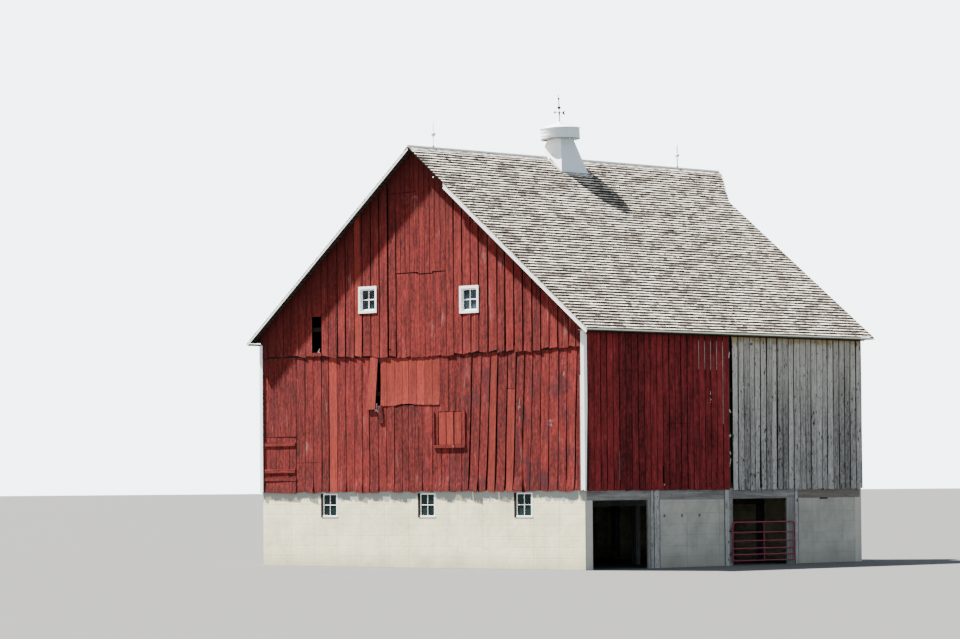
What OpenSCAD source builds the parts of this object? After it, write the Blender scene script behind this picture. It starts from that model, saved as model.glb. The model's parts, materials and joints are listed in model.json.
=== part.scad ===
// Timber barn on a concrete basement: post and beam frame, vertical board
// siding, steep shingle roof with a hay hood, sheet metal ventilator with a
// weather vane, and a tube gate hung across the open basement bay.
// Millimetres, +Z up, ridge along Y, ground at Z = 0.

/* [Main sizes] */
// Width of the gable, over the siding
barn_w = 13300; // [12000:100:15000]
// Length along the ridge, over the siding
barn_l = 12200; // [11600:20:14400]
// Height of the foot of the siding above the ground
base_h = 2200; // [2050:50:2600]
// Height of the wall plates above the foot of the siding
side_h = 4610; // [4500:10:5200]
// Slope of the roof in degrees
roof_pitch = 38; // [36:0.5:42]

/* [Roof] */
// Thickness of the boarded and shingled roof slab
roof_t = 60; // [40:5:90]
// Reach of the eaves past the siding
eave_over = 350; // [250:10:600]
// Reach of the roof past the front gable
front_over = 250; // [120:10:400]
// Reach of the roof past the back gable
back_over = 190; // [120:10:400]
// Reach of the hay hood past the back edge of the roof
hood_reach = 1230; // [800:10:1500]
// Half width of the hay hood where it leaves the roof
hood_half = 1410; // [900:10:1600]
// Depth of the white rake boards, square to the slope
rake_w = 70; // [60:5:180]
// Distance from the peak to the upper end of the broken front rake board
rake_break = 1440; // [300:20:3000]
// Depth from the top of the eave edge down to the soffit
eave_depth = 90; // [75:5:180]
// Diameter of the roll on the ridge
ridge_roll = 60; // [40:5:90]

/* [Siding] */
// Thickness of the wall boarding on its laths
skin_t = 40; // [30:5:60]
// Step of the upper front boards over the lower ones
lap_step = 15; // [8:1:20]
// Height of that lap above the foot of the siding
lap_h = 3950; // [3900:10:4100]
// Gap left by the missing board in the long side
side_gap_w = 150; // [120:10:260]
// Width of the white corner boards
corner_w = 100; // [80:5:240]
// Width of the front right corner board's wider lower length
corner_wide = 165; // [100:5:240]
// Thickness of the trim boards
trim_t = 25; // [18:1:35]

/* [Basement] */
// Thickness of the concrete walls
found_t = 300; // [200:10:400]
// Thickness of the concrete panels between the posts
panel_t = 150; // [100:10:180]
// Side of the basement posts
base_post = 180; // [140:10:200]
// Height of the floor beams
beam_h = 300; // [240:10:360]
// Width of the floor beams
beam_w = 200; // [150:10:220]
// Depth of the floor joists
joist_h = 200; // [160:10:240]
// Width of the floor joists
joist_w = 80; // [50:5:100]
// Thickness of the floor boards
deck_t = 50; // [38:1:70]
// Width of a basement window
cellar_w = 620; // [500:10:760]
// Height of a basement window
cellar_h = 690; // [500:10:760]

/* [Frame] */
// Side of the frame posts, plates and purlins
post_s = 200; // [160:10:220]
// Distance of the inner posts from the middle line
inner_x = 3000; // [2900:50:3150]
// Depth of the tie beams
tie_h = 250; // [200:10:300]
// Side of the girts that carry the boarding
girt_s = 120; // [80:5:140]
// Depth of the rafters
rafter_d = 140; // [120:5:180]
// Width of the rafters
rafter_w = 60; // [45:5:80]
// Depth of the level seats cut in the rafters
seat_cut = 50; // [30:5:60]
// Reach of the knee braces along post and tie
brace_leg = 800; // [500:20:1000]

/* [Front openings] */
// Width of the casings of the upper windows
window_w = 760; // [700:10:900]
// Height of the casings of the upper windows
window_h = 780; // [700:10:900]
// Width of those casings' boards
casing_w = 70; // [60:5:140]
// Width of the boarded hay door
hay_w = 2040; // [1600:20:2400]
// Height of the boarded hay door
hay_h = 2400; // [2360:10:2440]
// Width of the shuttered hatch
hatch_w = 960; // [800:10:1000]
// Height of the shuttered hatch
hatch_h = 970; // [800:10:1040]
// Running gap round the closed doors and shutters
door_gap = 5; // [3:1:10]

/* [Ventilator] */
// Width of the duct where it leaves the roof
duct_w = 1220; // [1000:20:1400]
// Width of the duct under the drum
duct_top = 560; // [480:10:640]
// Height from the ridge to the underside of the drum
duct_h = 575; // [400:5:800]
// Diameter of the drum
drum_d = 1190; // [1000:10:1300]
// Height of the drum
drum_h = 330; // [300:10:500]
// Rise of the conical cap
cap_h = 226; // [120:2:260]
// Lean of the drum and the rod towards the front in degrees
head_lean = 2.1; // [0:0.1:4]
// Height of the rod above the cap
rod_h = 820; // [600:10:1000]
// Length of the arrow of the weather vane
vane_l = 520; // [360:10:640]

/* [Lightning rods] */
// Height of the lightning rods above the ridge
point_h = 720; // [500:10:900]
// Diameter of the balls on them
ball_d = 130; // [90:5:160]

/* [Gate] */
// Length of the tube gate
gate_l = 2820; // [2600:20:2900]
// Height of the gate between its outer tube centres
gate_h = 1110; // [900:10:1250]
// Height of the lowest tube above the ground
gate_low = 130; // [80:10:250]
// Diameter of the gate's outer tube
tube_d = 42; // [34:1:50]
// Diameter of the gate's rails
rail_d = 34; // [25:1:40]

/* [Hidden] */

// Walls and frame planes
half_w = barn_w / 2;
front_y = -(barn_l + back_over + hood_reach - front_over) / 2;
back_y = front_y + barn_l;
mid_y = (front_y + back_y) / 2;
bay = barn_l / 4;
frame_x = half_w - skin_t;
frame_y0 = front_y + skin_t;
frame_y1 = back_y - skin_t;
foot = base_h;
end_cover = 60;
beam_y0 = frame_y0 + end_cover;
beam_y1 = frame_y1 - end_cover;
bent_y = [frame_y0 + post_s / 2, mid_y - bay, mid_y, mid_y + bay, frame_y1 - post_s / 2];

// Levels
beam_top = foot + 24;
beam_low = beam_top - beam_h;
joist_low = beam_top - joist_h;
summer_low = joist_low - beam_h;
floor_z = beam_top + deck_t;
plate_top = foot + side_h;
plate_low = plate_top - post_s;
tie_top = foot + lap_h + 50;
tie_low = tie_top - tie_h;

// Roof planes, as heights over the distance from the middle line
slope = tan(roof_pitch);
rafter_up = rafter_d / cos(roof_pitch);
roof_up = roof_t / cos(roof_pitch);
function rafter_z(x) = plate_top - seat_cut + (frame_x - x) * slope;
function rafter_x(z) = frame_x - (z - plate_top + seat_cut) / slope;
function deck_z(x) = rafter_z(x) + rafter_up;
function roof_z(x) = deck_z(x) + roof_up;
ridge_z = roof_z(0);
eave_x = half_w + eave_over;
soffit_z = roof_z(eave_x) - eave_depth;
shingle_drop = 25;
// A hair's breadth between the roof slabs and the walls and sheet metal that meet them
seat_gap = 0.1;
purlin_top = rafter_z(inner_x + post_s / 2) + seat_cut;
purlin_low = purlin_top - post_s;

// Levels of the girts: on the floor, at two heights, and two in the gable
girt_levels = [floor_z, foot + 1500, foot + lap_h - 1150];
gable_girt_low = foot + side_h + 150;
gable_girt_high = gable_girt_low + 1500;
rafter_step = bay / 4;

// Windows and doors, from the middle line and the foot of the siding
window_at = [[-1955, side_h + 1005], [2220, side_h + 850]];
window_reveal = 90;
sash_w = 45;
hay_x = -770;
hay_z = foot + lap_h;
hatch_at = [900, 1320];
low_door_at = [-half_w + corner_w + 5, 440];
low_door_size = [1450, 1220];
gap_at = [-4350, lap_h + 180];
gap_size = [400, 1070];
cellar_x = [-3650, 445, 4300];
cellar_top = foot - 50;
back_door_w = 2000;
back_door_z = gable_girt_high + 50;
back_door_h = 1900;
split_y = mid_y + 18;
corner_step = foot + lap_h - 760;
slant_foot = foot + 2420;

// Boards beside the open bays
bay_jamb_w = 340;
hinge_jamb_w = 85;
latch_jamb_w = 370;

// Head of the ventilator
vent_y = mid_y + 110;
head_z = ridge_z + duct_h;
sheet_t = 12;
shaft_lip = 75;
neck_r = duct_top / 2 - 15;
neck_h = 200;
rod_r = 10;
collar_h = 40;
vane_up = 230;
vane_z = drum_h + cap_h + vane_up;
vane_gap = 0.5;
hub_h = 70;

// Gate
gate_tube = tube_d / 2;
post_face = frame_x;
hinge_x = post_face + 60;
hinge_y = mid_y + 40;
hinge_reach = 50;
gate_y0 = hinge_y + hinge_reach;
gate_y1 = gate_y0 + gate_l - tube_d;
gate_bend = 120;
rail_steps = [0, 0.16, 0.32, 0.515, 0.735, 1];
pin_r = 9;
eye_gap = 0.8;
eye_h = 50;
eye_levels = [gate_low + 0.2 * gate_h, gate_low + 0.8 * gate_h];

concrete = [0.66, 0.63, 0.57];
timber = [0.42, 0.37, 0.31];
grey_board = [0.45, 0.43, 0.42];
red_board = [0.45, 0.13, 0.11];
white = [0.9, 0.9, 0.87];
shingle = [0.5, 0.46, 0.42];
sheet_metal = [0.72, 0.76, 0.8];
dark_metal = [0.2, 0.2, 0.2];

// A block between two corners
module block(x0, x1, y0, y1, z0, z1) {
    translate([x0, y0, z0]) cube([x1 - x0, y1 - y0, z1 - z0]);
}

// A profile drawn in the XZ plane and drawn out along Y
module along_y(y0, y1) {
    translate([0, y1, 0]) rotate([90, 0, 0]) linear_extrude(y1 - y0) children();
}

// A profile drawn in the YZ plane and drawn out along X
module along_x(x0, x1) {
    translate([x0, 0, 0]) rotate([90, 0, 90]) linear_extrude(x1 - x0) children();
}

module both_sides() {
    children();
    mirror([1, 0, 0]) children();
}

// A strip parallel to the roof, from x0 to x1, between two heights over the rafters' underside
module slope_band(x0, x1, low, high) {
    polygon([[x0, rafter_z(x0) + low], [x1, rafter_z(x1) + low],
        [x1, rafter_z(x1) + high], [x0, rafter_z(x0) + high]]);
}

// The same strip over both slopes in one piece, out to x1 on each side
module chevron(x1, low, high) {
    polygon([[0, rafter_z(0) + low], [x1, rafter_z(x1) + low], [x1, rafter_z(x1) + high],
        [0, rafter_z(0) + high], [-x1, rafter_z(x1) + high], [-x1, rafter_z(x1) + low]]);
}

module rect(x, z, w, h) {
    translate([x, z]) square([w, h]);
}

// Outline of a gable wall from a level up to the underside of the roof
module gable_outline(z0) {
    eave = deck_z(half_w) - seat_gap;
    polygon([[-half_w, z0], [half_w, z0], [half_w, eave],
        [0, deck_z(0) - seat_gap], [-half_w, eave]]);
}

// Basement

// One end wall, whose outer face lies at y = 0, with pockets for the side beams' ends
module gable_foundation() {
    difference() {
        block(-frame_x, frame_x, 0, found_t, 0, beam_top);
        both_sides() block(frame_x - beam_w, frame_x + 1, end_cover, found_t + 1,
            beam_low, beam_top + 1);
    }
}

module foundation_front() {
    color(concrete) difference() {
        translate([0, frame_y0, 0]) gable_foundation();
        for (x = cellar_x)
            block(x - cellar_w / 2, x + cellar_w / 2, frame_y0 - 1, frame_y0 + found_t + 1,
                cellar_top - cellar_h, cellar_top);
    }
}

module foundation_back() {
    color(concrete) translate([0, frame_y1, 0]) mirror([0, 1, 0]) gable_foundation();
}

module foundation_left() {
    color(concrete) block(-frame_x, -frame_x + found_t, frame_y0 + found_t, frame_y1 - found_t,
        0, beam_low);
}

// Two cast panels fill every other bay of the open side; vent holes pierce the first,
// which stops short of its post
module concrete_panels() {
    panel_set = 10;
    panel_gap = 90;
    hole_r = 25;
    hole_drop = 735;
    hole_share = [0.908, 0.662, 0.415];
    color(concrete) {
        difference() {
            block(post_face - panel_t, post_face - panel_set, mid_y - bay + base_post / 2,
                mid_y - base_post / 2 - panel_gap, 0, beam_low);
            for (share = hole_share)
                translate([post_face - panel_t - 1, mid_y - share * bay, foot - hole_drop])
                    rotate([0, 90, 0]) cylinder(r = hole_r, h = panel_t + 2, $fn = 32);
        }
        block(post_face - panel_t, post_face - panel_set, mid_y + bay + base_post / 2,
            frame_y1 - found_t, 0, beam_low);
    }
}

module basement_posts() {
    inner_y = [frame_y0 + found_t + base_post / 2, mid_y - bay, mid_y, mid_y + bay,
        frame_y1 - found_t - base_post / 2];
    color(timber) {
        for (i = [-1:1])
            block(post_face - base_post, post_face, mid_y + i * bay - base_post / 2,
                mid_y + i * bay + base_post / 2, 0, beam_top);
        both_sides() for (y = inner_y)
            block(inner_x - base_post / 2, inner_x + base_post / 2, y - base_post / 2,
                y + base_post / 2, 0, summer_low);
    }
}

// Rough boards that line the two open bays beside their posts
module door_jambs() {
    jamb_t = 45;
    color(grey_board) {
        block(post_face - jamb_t, post_face, mid_y - bay - base_post / 2 - bay_jamb_w,
            mid_y - bay - base_post / 2, 0, beam_low);
        block(post_face - jamb_t, post_face, mid_y + base_post / 2,
            mid_y + base_post / 2 + hinge_jamb_w, 0, beam_low);
        block(post_face - jamb_t, post_face, mid_y + bay - base_post / 2 - latch_jamb_w,
            mid_y + bay - base_post / 2, 0, beam_low);
    }
}

// Beams along both sides and two summer beams under the joists
module floor_beams() {
    color(timber) {
        block(-frame_x, -frame_x + beam_w, beam_y0, beam_y1, beam_low, beam_top);
        for (i = [0:3]) {
            y0 = i == 0 ? beam_y0 : mid_y + (i - 2) * bay + base_post / 2;
            y1 = i == 3 ? beam_y1 : mid_y + (i - 1) * bay - base_post / 2;
            block(frame_x - beam_w, frame_x, y0, y1, beam_low, beam_top);
        }
        both_sides() block(inner_x - beam_w / 2, inner_x + beam_w / 2,
            frame_y0 + found_t, frame_y1 - found_t, summer_low, joist_low);
    }
}

module floor_joists() {
    inner_y0 = frame_y0 + found_t;
    inner_y1 = frame_y1 - found_t;
    count = ceil((inner_y1 - inner_y0) / 620);
    step = (inner_y1 - inner_y0) / count;
    color(timber) for (i = [0:count - 1])
        block(-frame_x + beam_w, frame_x - beam_w, inner_y0 + (i + 0.5) * step - joist_w / 2,
            inner_y0 + (i + 0.5) * step + joist_w / 2, joist_low, beam_top);
}

module floor_deck() {
    color(timber) block(-frame_x, frame_x, frame_y0, frame_y1, beam_top, floor_z);
}

// Frame

module frame_posts() {
    color(timber) both_sides() for (y = bent_y) {
        block(frame_x - post_s, frame_x, y - post_s / 2, y + post_s / 2, floor_z, plate_low);
        block(inner_x - post_s / 2, inner_x + post_s / 2, y - post_s / 2, y + post_s / 2,
            floor_z, purlin_low);
    }
}

module roof_plates() {
    color(timber) both_sides() {
        block(frame_x - post_s, frame_x, frame_y0, frame_y1, plate_low, plate_top);
        block(inner_x - post_s / 2, inner_x + post_s / 2, frame_y0, frame_y1,
            purlin_low, purlin_top);
    }
}

// Ties between the posts of each bent
module tie_beams() {
    color(timber) for (y = bent_y) {
        both_sides() block(inner_x + post_s / 2, frame_x - post_s, y - post_s / 2,
            y + post_s / 2, tie_low, tie_top);
        block(-inner_x + post_s / 2, inner_x - post_s / 2, y - post_s / 2, y + post_s / 2,
            tie_low, tie_top);
    }
}

// A brace in the corner under a tie, from a post face at x = 0 inwards
module brace_profile() {
    cut = girt_s * sqrt(2);
    polygon([[0, -brace_leg], [brace_leg, 0], [brace_leg - cut, 0], [0, -brace_leg + cut]]);
}

module knee_braces() {
    color(timber) for (y = [bent_y[1], bent_y[2], bent_y[3]]) both_sides()
        along_y(y - girt_s / 2, y + girt_s / 2) {
            translate([-inner_x + post_s / 2, tie_low]) brace_profile();
            translate([-frame_x + post_s, tie_low]) brace_profile();
        }
}

// Girts of one gable, whose outer face lies at y = 0
module gable_girts() {
    high_x = rafter_x(gable_girt_low + girt_s);
    for (z = girt_levels) {
        both_sides() block(inner_x + post_s / 2, frame_x - post_s, 0, girt_s, z, z + girt_s);
        block(-inner_x + post_s / 2, inner_x - post_s / 2, 0, girt_s, z, z + girt_s);
    }
    both_sides() block(inner_x + post_s / 2, high_x, 0, girt_s,
        gable_girt_low, gable_girt_low + girt_s);
    for (z = [gable_girt_low, gable_girt_high])
        block(-inner_x + post_s / 2, inner_x - post_s / 2, 0, girt_s, z, z + girt_s);
}

module girts() {
    color(timber) {
        both_sides() for (i = [0:3], z = girt_levels)
            block(frame_x - girt_s, frame_x, bent_y[i] + post_s / 2,
                bent_y[i + 1] - post_s / 2, z, z + girt_s);
        translate([0, frame_y0, 0]) gable_girts();
        translate([0, frame_y1, 0]) mirror([0, 1, 0]) gable_girts();
    }
}

module rafter_profile() {
    difference() {
        slope_band(0, frame_x, 0, rafter_up);
        rect(frame_x - post_s, plate_low, post_s + 1, post_s);
        rect(inner_x - post_s / 2, purlin_low, post_s, post_s);
    }
}

module rafter_row() {
    color(timber) {
        for (i = [-7:7])
            along_y(mid_y + i * rafter_step - rafter_w / 2, mid_y + i * rafter_step + rafter_w / 2)
                rafter_profile();
        along_y(frame_y0, frame_y0 + rafter_w) rafter_profile();
        along_y(frame_y1 - rafter_w, frame_y1) rafter_profile();
    }
}

module rafters_right() rafter_row();

module rafters_left() mirror([1, 0, 0]) rafter_row();

// Siding

// The gap between two patch boards widens down to the loose board's foot
module slant_gap() {
    polygon([[-1560, foot + lap_h - 190], [-1500, foot + lap_h - 190],
        [-1430, slant_foot], [-1720, slant_foot]]);
}

module front_wall_lower() {
    color(red_board) along_y(front_y + lap_step, front_y + skin_t) difference() {
        rect(-half_w, foot, barn_w, lap_h);
        rect(hatch_at[0], foot + hatch_at[1], hatch_w, hatch_h);
        rect(low_door_at[0], foot + low_door_at[1], low_door_size[0], low_door_size[1]);
        slant_gap();
    }
}

module front_wall_upper() {
    color(red_board) along_y(front_y, front_y + skin_t) difference() {
        gable_outline(foot + lap_h);
        for (at = window_at)
            rect(at[0] - window_w / 2 + casing_w - 15, foot + at[1] - window_h / 2 + casing_w - 15,
                window_w - 2 * casing_w + 30, window_h - 2 * casing_w + 30);
        rect(hay_x, hay_z - 1, hay_w, hay_h + 1);
        rect(gap_at[0], foot + gap_at[1], gap_size[0], gap_size[1]);
    }
}

module side_wall_red() {
    color(red_board) block(frame_x, half_w, frame_y0, split_y, foot, deck_z(half_w));
}

module side_wall_grey() {
    color(grey_board) block(frame_x, half_w, split_y + side_gap_w, frame_y1,
        foot, deck_z(half_w));
}

module left_wall() {
    color(red_board) block(-half_w, -frame_x, frame_y0, frame_y1, foot, deck_z(half_w));
}

module back_wall() {
    color(red_board) along_y(frame_y1, back_y) difference() {
        gable_outline(foot);
        rect(-back_door_w / 2, back_door_z, back_door_w, back_door_h);
    }
}

// A length of corner board: two leaves over the outside of the corner at the origin
module corner_board(leaf, z0, z1) {
    translate([0, 0, z0]) linear_extrude(z1 - z0)
        polygon([[-leaf, -trim_t], [trim_t, -trim_t], [trim_t, corner_w],
            [0, corner_w], [0, 0], [-leaf, 0]]);
}

// On the front corners only; the right one has a wider board in its lower length
module corner_boards() {
    color(white) translate([0, front_y, 0]) {
        mirror([1, 0, 0]) translate([half_w, 0, 0]) corner_board(corner_w, foot, soffit_z);
        translate([half_w, 0, 0]) {
            corner_board(corner_wide, foot, corner_step);
            corner_board(corner_w, corner_step, soffit_z);
        }
    }
}

// Doors, shutters and loose boards of the gables

module hay_door() {
    color(red_board) block(hay_x + door_gap, hay_x + hay_w - door_gap, front_y + 5,
        front_y + skin_t, hay_z + door_gap, hay_z + hay_h - door_gap);
}

module hatch_shutter() {
    color(red_board) block(hatch_at[0] + door_gap, hatch_at[0] + hatch_w - door_gap,
        front_y + lap_step, front_y + skin_t, foot + hatch_at[1] + door_gap,
        foot + hatch_at[1] + hatch_h - door_gap);
}

// A board each side of the hatch and a sill under it, standing on the face of the wall
module hatch_trim() {
    trim_w = 75;
    sill_h = 80;
    sill_reach = 60;
    wall_face = front_y + lap_step;
    x0 = hatch_at[0];
    x1 = x0 + hatch_w;
    z0 = foot + hatch_at[1];
    color(red_board) {
        block(x0 - trim_w, x0, wall_face - trim_t, wall_face, z0, z0 + hatch_h);
        block(x1, x1 + trim_w, wall_face - trim_t, wall_face, z0, z0 + hatch_h);
        block(x0 - 2 * trim_w, x1 + 2 * trim_w, wall_face - sill_reach, wall_face,
            z0 - sill_h, z0);
    }
}

module low_door() {
    x0 = low_door_at[0];
    z0 = foot + low_door_at[1];
    color(red_board) {
        block(x0 + door_gap, x0 + low_door_size[0] - door_gap, front_y + lap_step + 5,
            front_y + skin_t, z0 + door_gap, z0 + low_door_size[1] - door_gap);
        block(x0, x0 + low_door_size[0], front_y + lap_step - 40, front_y + lap_step,
            z0 - 100, z0);
    }
}

// Hangs aslant below the gap
module loose_board() {
    board_w = 180;
    board_l = 520;
    board_lean = 8;
    color(red_board) translate([-1575, front_y + lap_step - trim_t, slant_foot + 80])
        rotate([0, -board_lean, 0]) translate([0, 0, -board_l]) cube([board_w, trim_t, board_l]);
}

module back_hay_door() {
    color(red_board) block(-back_door_w / 2 + door_gap, back_door_w / 2 - door_gap, frame_y1,
        back_y - 5, back_door_z + door_gap, back_door_z + back_door_h - door_gap);
}

// Roof

roof_y0 = front_y - front_over + trim_t;
roof_y1 = back_y + back_over - trim_t;

// One slope, cut away under the duct so that it draws air from the barn
module roof_slope() {
    shaft = (duct_w + duct_top) / 4 - shaft_lip;
    color(shingle) difference() {
        along_y(roof_y0, roof_y1) slope_band(0, eave_x - trim_t, rafter_up, rafter_up + roof_up);
        block(-1, shaft, vent_y - shaft, vent_y + shaft, roof_z(shaft) - 3 * roof_up, ridge_z + 1);
    }
}

module roof_right() roof_slope();

module roof_left() mirror([1, 0, 0]) roof_slope();

// The roof runs on past the back gable to a point over the hay door
module hay_hood() {
    tip_y = back_y + back_over + hood_reach;
    edge_y = roof_y1 + trim_t;
    color(shingle) intersection() {
        along_y(roof_y1, tip_y) chevron(hood_half, rafter_up, rafter_up + roof_up);
        translate([0, 0, ridge_z - hood_half]) linear_extrude(2 * hood_half)
            polygon([[-hood_half, roof_y1], [hood_half, roof_y1], [hood_half, edge_y],
                [0, tip_y], [-hood_half, edge_y]]);
    }
}

// Sheet metal wings with a roll over the ridge, left out under the ventilator
module ridge_cap() {
    wing = 150;
    leaf = 8;
    top = rafter_up + roof_up;
    color(sheet_metal) difference() {
        along_y(front_y - front_over, back_y + back_over + hood_reach - wing) {
            chevron(wing, top, top + leaf / cos(roof_pitch));
            translate([0, ridge_z + ridge_roll / 4]) circle(d = ridge_roll, $fn = 32);
        }
        roof_wedge();
        block(-wing - 1, wing + 1, vent_y - duct_w / 2, vent_y + duct_w / 2,
            ridge_z - 2 * wing, ridge_z + ridge_roll);
    }
}

// The space under the roof's surface
module roof_wedge() {
    along_y(roof_y0 - 100, roof_y1 + hood_reach + 100)
        polygon([[-half_w, roof_z(half_w) + seat_gap], [half_w, roof_z(half_w) + seat_gap],
            [0, ridge_z + seat_gap]]);
}

module rake_profile(x0) {
    top = rafter_up + roof_up - shingle_drop;
    difference() {
        slope_band(x0, eave_x, top - rake_w / cos(roof_pitch), top);
        rect(half_w, soffit_z - rake_w * 3, eave_over + 1, rake_w * 3);
    }
}

// Front boards reach the peak on the left only; the right one has lost its upper end
module rake_boards() {
    color(white) {
        along_y(roof_y0 - trim_t, roof_y0) {
            rake_profile(rake_break);
            mirror([1, 0]) rake_profile(0);
        }
        along_y(roof_y1, roof_y1 + trim_t) both_sides() rake_profile(hood_half);
    }
}

// Fascia in front of the roof's edge, with a level soffit back to the siding
module eave_boards() {
    soffit_t = 20;
    fascia_x = eave_x - trim_t;
    color(white) both_sides() along_y(roof_y0, roof_y1) difference() {
        union() {
            rect(fascia_x, soffit_z, trim_t, roof_z(eave_x) - shingle_drop - soffit_z);
            rect(half_w, soffit_z, eave_over - trim_t + 1, soffit_t);
        }
        slope_band(half_w - 1, fascia_x, rafter_up, rafter_up + roof_up);
    }
}

// Windows

// A frame of boards standing in the XZ plane from y0 to y1
module ring(w, h, border, y0, y1) {
    along_y(y0, y1) difference() {
        square([w, h], center = true);
        square([w - 2 * border, h - 2 * border], center = true);
    }
}

module window_frames() {
    color(white) for (at = window_at) translate([at[0], 0, foot + at[1]]) {
        ring(window_w, window_h, casing_w, front_y - trim_t, front_y);
        ring(window_w - 2 * casing_w + 30, window_h - 2 * casing_w + 30, 15,
            front_y, front_y + window_reveal);
        ring(window_w - 2 * casing_w, window_h - 2 * casing_w, sash_w,
            front_y + 20, front_y + 55);
    }
}

module window_glass() {
    color([0.2, 0.24, 0.26, 0.5]) for (at = window_at) translate([at[0], 0, foot + at[1]])
        along_y(front_y + 55, front_y + 59)
            square([window_w - 2 * casing_w, window_h - 2 * casing_w], center = true);
}

cellar_y = frame_y0 + 110;

module cellar_frames() {
    color(white) for (x = cellar_x) translate([x, 0, cellar_top - cellar_h / 2])
        ring(cellar_w, cellar_h, sash_w, cellar_y, cellar_y + 45);
}

module cellar_glass() {
    color([0.2, 0.24, 0.26, 0.5]) for (x = cellar_x)
        translate([x, 0, cellar_top - cellar_h / 2]) along_y(cellar_y + 45, cellar_y + 49)
            square([cellar_w, cellar_h], center = true);
}

// Ventilator

// What sits on the duct leans towards the front left corner
module on_head() {
    translate([0, vent_y, head_z]) rotate(a = head_lean, v = [1, -1, 0]) children();
}

// Four-sided taper, grown by g all round
module taper(g) {
    low = roof_z(duct_w / 2) - 60;
    top = head_z + 60;
    grow = (duct_w - duct_top) / 2 / (head_z - low);
    w0 = duct_w / 2 + g;
    w1 = duct_top / 2 - grow * 60 + g;
    outline = [[-w0, low], [w0, low], [w1, top], [-w1, top]];
    intersection() {
        along_y(vent_y - duct_w, vent_y + duct_w) polygon(outline);
        along_x(-duct_w, duct_w) translate([vent_y, 0]) polygon(outline);
    }
}

// Hollow and open to the roof below, with a round mouth in its lid
module vent_duct() {
    color(sheet_metal) difference() {
        taper(0);
        roof_wedge();
        on_head() translate([-duct_w, -duct_w, 0]) cube([2 * duct_w, 2 * duct_w, duct_w]);
        difference() {
            taper(-sheet_t * 2);
            on_head() translate([-duct_w, -duct_w, -sheet_t])
                cube([2 * duct_w, 2 * duct_w, duct_w]);
        }
        on_head() translate([0, 0, -2 * sheet_t]) cylinder(r = neck_r - sheet_t, h = 3 * sheet_t, $fn = 96);
    }
}

// Round neck on the duct's lid, open to the air under the cap
module vent_neck() {
    color(sheet_metal) on_head() rotate_extrude($fn = 96)
        translate([neck_r - sheet_t, 0]) square([sheet_t, neck_h]);
}

// Ribbed drum on four straps that reach in to the neck
module vent_drum() {
    r = drum_d / 2;
    rib = 8;
    rib_h = 22;
    rim = 60;
    strap_z = 90;
    strap_w = 40;
    color(sheet_metal) on_head() {
        rotate_extrude($fn = 96) {
            translate([r - rib - sheet_t, 0]) square([sheet_t, drum_h]);
            for (z = [0, drum_h / 3, 2 * drum_h / 3, drum_h - rib_h])
                translate([r - rib - 1, z]) square([rib + 1, rib_h]);
            translate([r - rib - rim, 0]) square([rim, sheet_t]);
        }
        difference() {
            for (a = [0:90:270]) rotate([0, 0, a + 45])
                translate([neck_r - sheet_t, -strap_w / 2, strap_z])
                    cube([r - rib - neck_r, strap_w, sheet_t]);
            cylinder(r = neck_r + seat_gap, h = neck_h, $fn = 96);
        }
    }
}

module vent_cap() {
    rim = drum_d / 2 + 12;
    color(sheet_metal) on_head() translate([0, 0, drum_h]) rotate_extrude($fn = 96)
        polygon([[0, cap_h - sheet_t], [rim - sheet_t * 3, 0], [rim, 0], [rim, sheet_t],
            [45, cap_h - 14], [45, cap_h], [0, cap_h]]);
}

// Rod with a collar for the vane, a heart finial and two small balls
module vane_rod() {
    heart_r = 32;
    heart_t = 28;
    knob_up = 500;
    ball_up = 685;
    color(dark_metal) on_head() {
        translate([0, 0, drum_h + cap_h]) {
            cylinder(r = rod_r, h = rod_h, $fn = 32);
            cylinder(r = 24, h = 20, $fn = 32);
        }
        translate([0, 0, vane_z - collar_h]) cylinder(r = 20, h = collar_h, $fn = 32);
        translate([0, 0, vane_z + hub_h + 50]) rotate([90, 0, 45])
            translate([0, 0, -heart_t / 2]) linear_extrude(heart_t) {
                rotate(45) square(2 * heart_r);
                rotate(45) translate([2 * heart_r, heart_r]) circle(heart_r, $fn = 32);
                rotate(45) translate([heart_r, 2 * heart_r]) circle(heart_r, $fn = 32);
            }
        translate([0, 0, drum_h + cap_h + knob_up]) sphere(r = 24, $fn = 32);
        translate([0, 0, drum_h + cap_h + ball_up]) sphere(r = 34, $fn = 32);
    }
}

// Arrow that turns on the rod: hub, shaft, head and feathered tail
module wind_vane() {
    half = vane_l / 2;
    bar = 14;
    color(dark_metal) on_head() translate([0, 0, vane_z + vane_gap]) {
        difference() {
            union() {
                cylinder(r = 26, h = hub_h, $fn = 32);
                translate([-bar / 2, -half + 60, hub_h / 2 - bar / 2])
                    cube([bar, vane_l - 120, bar]);
                translate([-4, 0, hub_h / 2]) rotate([90, 0, 90]) linear_extrude(8) {
                    polygon([[-half, 0], [-half + 110, 52], [-half + 85, 0], [-half + 110, -52]]);
                    polygon([[half - 130, 8], [half - 60, 60], [half, 60], [half - 45, 0],
                        [half, -60], [half - 60, -60], [half - 130, -8]]);
                }
            }
            translate([0, 0, -1]) cylinder(r = rod_r + 0.5, h = hub_h + 2, $fn = 32);
        }
    }
}

// Lightning rods

point_y = [front_y + 810, back_y - 690];
point_foot = ridge_z + ridge_roll * 0.75;
point_r = 8;

module lightning_rods() {
    color(dark_metal) for (y = point_y) translate([0, y, point_foot]) {
        cylinder(r = 30, h = 25, $fn = 32);
        cylinder(r = point_r, h = point_h - 60, $fn = 32);
        translate([0, 0, point_h - 60]) cylinder(r1 = point_r, r2 = 2, h = 60, $fn = 32);
        translate([0, 0, point_h / 2 - ball_d / 2 - 15]) cylinder(r = 18, h = 15, $fn = 32);
    }
}

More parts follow.
